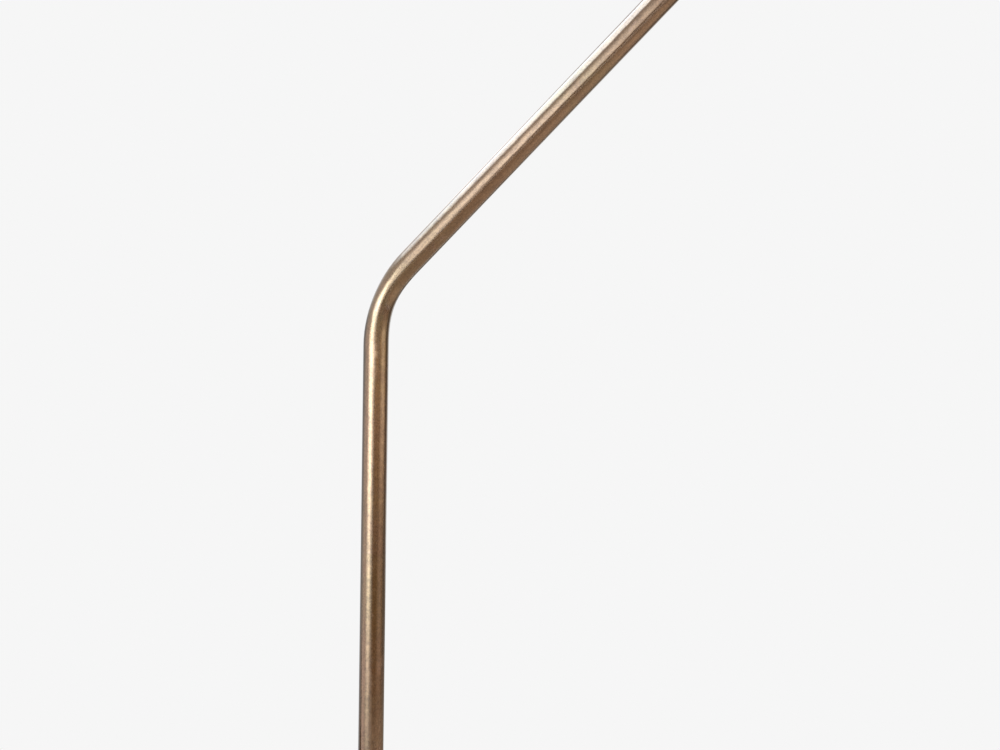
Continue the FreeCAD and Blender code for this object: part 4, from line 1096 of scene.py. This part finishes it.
def far_card(name, azimuths, elevations, colour, edges, distance=2.4):
    """A card on part of a ball round the bend, with soft edges in degrees: left, right, lower and upper.

    A point is bend + distance · (sin(azimuth) · cos(elevation), -cos(azimuth) · cos(elevation),
    sin(elevation)). The glow rises and falls over the width of an edge, half of it past the range given.
    """
    ranges = []
    for (low, high), (low_edge, high_edge) in zip((azimuths, elevations), (edges[:2], edges[2:])):
        ranges.append((low - low_edge / 2, high + high_edge / 2, low_edge, high_edge))
    azimuth = np.radians(np.linspace(*ranges[0][:2], 49))
    elevation = np.radians(np.linspace(*ranges[1][:2], 25))[:, None]
    direction = np.stack(np.broadcast_arrays(
        np.sin(azimuth) * np.cos(elevation), -np.cos(azimuth) * np.cos(elevation), np.sin(elevation)), -1)

    def mask_of(finish, *shares):
        windows = []
        for share, (start, end, low_edge, high_edge) in zip(shares, ranges):
            angle = share * (end - start) + start
            rise = finish.between(angle, start, start + low_edge)
            fall = finish.between(angle, end - high_edge, end)
            windows.append(rise * (1.0 - fall))
        return windows[0] * windows[1]

    bend = np.array([0, 0, bpy.context.scene.lamp_shape.upper_corner])
    reflected_card(name, bend + distance * direction, colour, mask_of)


def near_card(name, middle, widths, colour, peak, lean=0.0, distance=1.0, foot=None):
    """A flat card whose glow is a soft hill, in front of the lamp or, where distance is negative, behind it.

    The mask is peak · exp(-(a / side width)² - (b / upper or lower width)²). From the middle, a runs along
    the card and b up it, and a point is middle + a · (cos(lean), sin(lean)) + b · (-sin(lean), cos(lean)).
    Where a foot is given, the glow rises from nought to full between its two levels.
    """
    left, right, down, up = widths
    reach = 2.2
    along = np.array([-left, right]) * reach
    above = np.array([[-down], [up]]) * reach
    across = middle[0] + along * math.cos(lean) - above * math.sin(lean)
    upward = middle[1] + along * math.sin(lean) + above * math.cos(lean)
    points = np.stack(np.broadcast_arrays(across, -distance, upward), axis=-1)

    def hill(finish, share, low, high):
        offset = share * (reach * (low + high)) - reach * low
        positive = finish.math("MAXIMUM", offset, 0.0) / high
        negative = finish.math("MINIMUM", offset, 0.0) / low
        return positive * positive + negative * negative

    def mask_of(finish, across, upward):
        spread = hill(finish, across, left, right) + hill(finish, upward, down, up)
        mask = finish.math("EXPONENT", spread * -1.0) * peak
        if foot:
            level = upward * (reach * (down + up)) + (middle[1] - reach * down)
            mask = mask * finish.between(level, *foot)
        return mask * finish.between(spread, reach * reach * 0.95, reach * reach * 0.5)

    reflected_card(name, points, colour, mask_of)


def add_area(name, position, target_level, size, power):
    """A soft square light aimed at a point of the lamp's axis."""
    light = bpy.data.lights.new(name, "AREA")
    light.size = size
    light.energy = power
    lamp = new_object(name, light)
    lamp.location = position
    aim = Vector((0, 0, target_level)) - Vector(position)
    lamp.rotation_euler = aim.to_track_quat("-Z", "Y").to_euler()
    lamp.visible_camera = False
    lamp.visible_glossy = False


def make_camera(studio, bend):
    """The camera of the photograph, turned by azimuth, elevation and roll.

    Its place is bend + aside · right + rise · up + distance · back, by its own directions before the roll.
    """
    tilt = math.pi / 2 - studio.elevation
    turned = Matrix.Rotation(studio.azimuth, 4, "Z") @ Matrix.Rotation(tilt, 4, "X")
    offset = Matrix.Translation((studio.aside, studio.rise, studio.distance))
    data = bpy.data.cameras.new("camera")
    data.lens = studio.lens
    data.sensor_width = 36.0
    data.clip_start = 0.01
    camera = new_object("camera", data)
    camera.matrix_world = Matrix.Translation(bend) @ turned @ offset @ Matrix.Rotation(studio.roll, 4, "Z")
    bpy.context.scene.camera = camera


def make_world(studio):
    """A pale background for the camera, metal and glass, and a lower level of light on matt surfaces."""
    world = bpy.data.worlds.new("studio")
    bpy.context.scene.world = world
    finish = Finish(world)
    seen = 0.0
    for ray in ("Is Camera Ray", "Is Glossy Ray", "Is Transmission Ray"):
        seen = finish.math("MAXIMUM", seen, finish.add("ShaderNodeLightPath", output=ray))
    colour = finish.mix(seen, (studio.ambient,) * 3, (studio.background,) * 3)
    shader = finish.add("ShaderNodeBackground", {}, {"Color": colour, "Strength": 1.0})
    finish.add("ShaderNodeOutputWorld", {}, {"Surface": shader})


def make_floor(studio):
    """A pale round floor just under the felt, which fades into the background towards its rim."""
    count, drop = 96, 0.2 * MM
    turn = np.linspace(0, 2 * math.pi, count, endpoint=False)
    rim = np.stack([np.cos(turn), np.sin(turn), np.zeros(count)], axis=1) * studio.floor_radius
    mesh = new_mesh("floor", rim - (0, 0, drop), [np.arange(count)[None]])
    finish = new_finish("floor")
    place = finish.place()
    away = finish.add("ShaderNodeVectorMath", {"operation": "LENGTH"}, {0: place}, "Value")
    fade = finish.between(away, studio.floor_radius * 0.30, studio.floor_radius * 0.98)
    shader = finish.add("ShaderNodeBsdfPrincipled", {}, {
        "Base Color": finish.mix(finish.noise(place, 0.05, 3.0), (0.80, 0.80, 0.80), (0.82, 0.82, 0.82)),
        "Roughness": 0.85,
        "Specular IOR Level": 0.1,
    })
    mesh.materials.append(finish.veil(1.0 - fade, shader))
    new_object("floor", mesh)


class LAMP_OT_stage(LampOperator, bpy.types.Operator):
    """Camera, floor, background, lights and the cards that the brass reflects"""

    bl_idname = "lamp.stage"
    bl_label = "Studio"

    def execute(self, context):
        studio = context.scene.lamp_studio
        make_camera(studio, (0, 0, context.scene.lamp_shape.upper_corner))
        make_world(studio)
        make_floor(studio)
        near_card("key-glow", (-0.40, 1.03), (0.54, 0.31, 0.335, 0.21), (6.8, 7.4, 7.4), 0.97)
        near_card("upper-glow", (0.05, 1.09), (0.20, 0.25, 0.10, 0.12), (3.3, 3.6, 3.8), 0.95,
                  distance=0.32, foot=(1.03, 1.062))
        gap = 0.05
        near_card("bend-glow", (-0.018, 1.058), (0.042, 0.019, 0.0085, 0.0115), (8.4, 9.8, 10.8), 0.66,
                  -0.25, gap)
        near_card("bend-foot", (-0.011, 1.040), (0.006, 0.019, 0.026, 0.006), (7.3, 8.0, 8.2), 0.47,
                  -0.40, gap)
        near_card("bend-side", (0.051, 1.036), (0.042, 0.080, 0.006, 0.006), (0.68, 0.62, 0.50), 0.97,
                  -0.25, gap)
        near_card("arm-edge", (0.018, 1.068), (0.009, 0.047, 0.008, 0.012), (3.6, 3.9, 4.0), 0.61, 0.79, gap)
        near_card("arm-glow", (0.016, 1.059), (0.006, 0.059, 0.006, 0.042), (2.35, 2.5, 2.6), 0.97,
                  0.69, gap)
        near_card("arm-rim", (0.026, 1.140), (0.054, 0.042, 0.025, 0.022), (1.85, 1.72, 1.64), 1.0,
                  0.785, -gap)
        far_card("window", (-125, -28), (35.5, 66), (3.9, 5.0, 6.2), (14, 12, 13, 14))
        far_card("left-fill", (-80, -44), (-40, 22), (1.28, 1.20, 1.22), (22, 16, 20, 16))
        far_card("left-flag", (-180, -98), (-30, 10), (0.42, 0.42, 0.43), (4, 22, 14, 10), 2.3)
        far_card("right-flag", (118, 155), (-30, 40), (0.27, 0.22, 0.17), (18, 22, 14, 14), 2.3)
        far_card("rear-flag", (155, 185), (-30, -12), (0.27, 0.22, 0.17), (10, 4, 10, 4), 2.35)
        far_card("warm-side", (9, 118), (-19, -10), (0.42, 0.28, 0.155), (28, 18, 8, 5), 2.45)
        far_card("warm-lower", (25, 118), (-21, -16.5), (0.33, 0.215, 0.110), (18, 18, 5, 4), 2.43)
        far_card("warm-middle", (11, 118), (-10, -4), (0.60, 0.44, 0.27), (28, 18, 5, 4), 2.5)
        far_card("warm-rise", (11, 138), (-4, 16), (0.86, 0.63, 0.37), (24, 20, 4, 12), 2.55)
        far_card("right-strip", (69, 107), (-7, 2), (1.66, 1.48, 1.20), (30, 28, 7, 6), 2.2)
        far_card("right-foot", (62, 104), (-19, -7), (0.80, 0.64, 0.52), (32, 26, 8, 6), 2.4)
        far_card("warm-floor", (12, 150), (-70, -24.5), (0.67, 0.54, 0.42), (30, 40, 4, 12), 1.3)
        far_card("low-right", (66, 122), (-44, -28), (0.98, 0.82, 0.66), (36, 40, 12, 12), 1.2)
        add_area("soft-left", (-2.4, -2.2, 2.6), 0.8, 1.8, 46)
        add_area("soft-right", (2.6, -1.6, 2.2), 0.8, 1.6, 25)
        add_area("soft-top", (0, 0.6, 3.4), 0.6, 2.4, 34)
        context.scene.view_settings.view_transform = "Standard"
        return {"FINISHED"}


class LAMP_PT_panel(bpy.types.Panel):
    """Lists the lamp's operators and settings"""

    bl_idname = "LAMP_PT_panel"
    bl_label = "Floor lamp"
    bl_space_type = "VIEW_3D"
    bl_region_type = "UI"
    bl_category = "Lamp"

    def draw(self, context):
        for operator in OPERATORS:
            self.layout.operator(operator.bl_idname)
        for name in GROUPS:
            group = getattr(context.scene, name)
            box = self.layout.box()
            for setting in type(group).__annotations__:
                box.prop(group, setting)


GROUPS = {"lamp_finish": FinishSettings, "lamp_shape": ShapeSettings, "lamp_studio": StudioSettings}
OPERATORS = (
    LAMP_OT_stage, LAMP_OT_base, LAMP_OT_stem, LAMP_OT_arms, LAMP_OT_holders, LAMP_OT_shades, LAMP_OT_bulbs,
    LAMP_OT_switches, LAMP_OT_machined)


def register():
    """Registers the settings, the operators and the panel."""
    for kind in (*GROUPS.values(), *OPERATORS, LAMP_PT_panel):
        bpy.utils.register_class(kind)
    for name, group in GROUPS.items():
        setattr(bpy.types.Scene, name, PointerProperty(type=group))


def unregister():
    """Takes away what register added."""
    for name in GROUPS:
        delattr(bpy.types.Scene, name)
    for kind in reversed((*GROUPS.values(), *OPERATORS, LAMP_PT_panel)):
        bpy.utils.unregister_class(kind)


def main():
    """Dresses the lamp: registers the add-on and runs each operator."""
    register()
    for operator in OPERATORS:
        getattr(bpy.ops.lamp, operator.bl_idname.split(".")[1])()


if __name__ == "__main__":
    main()
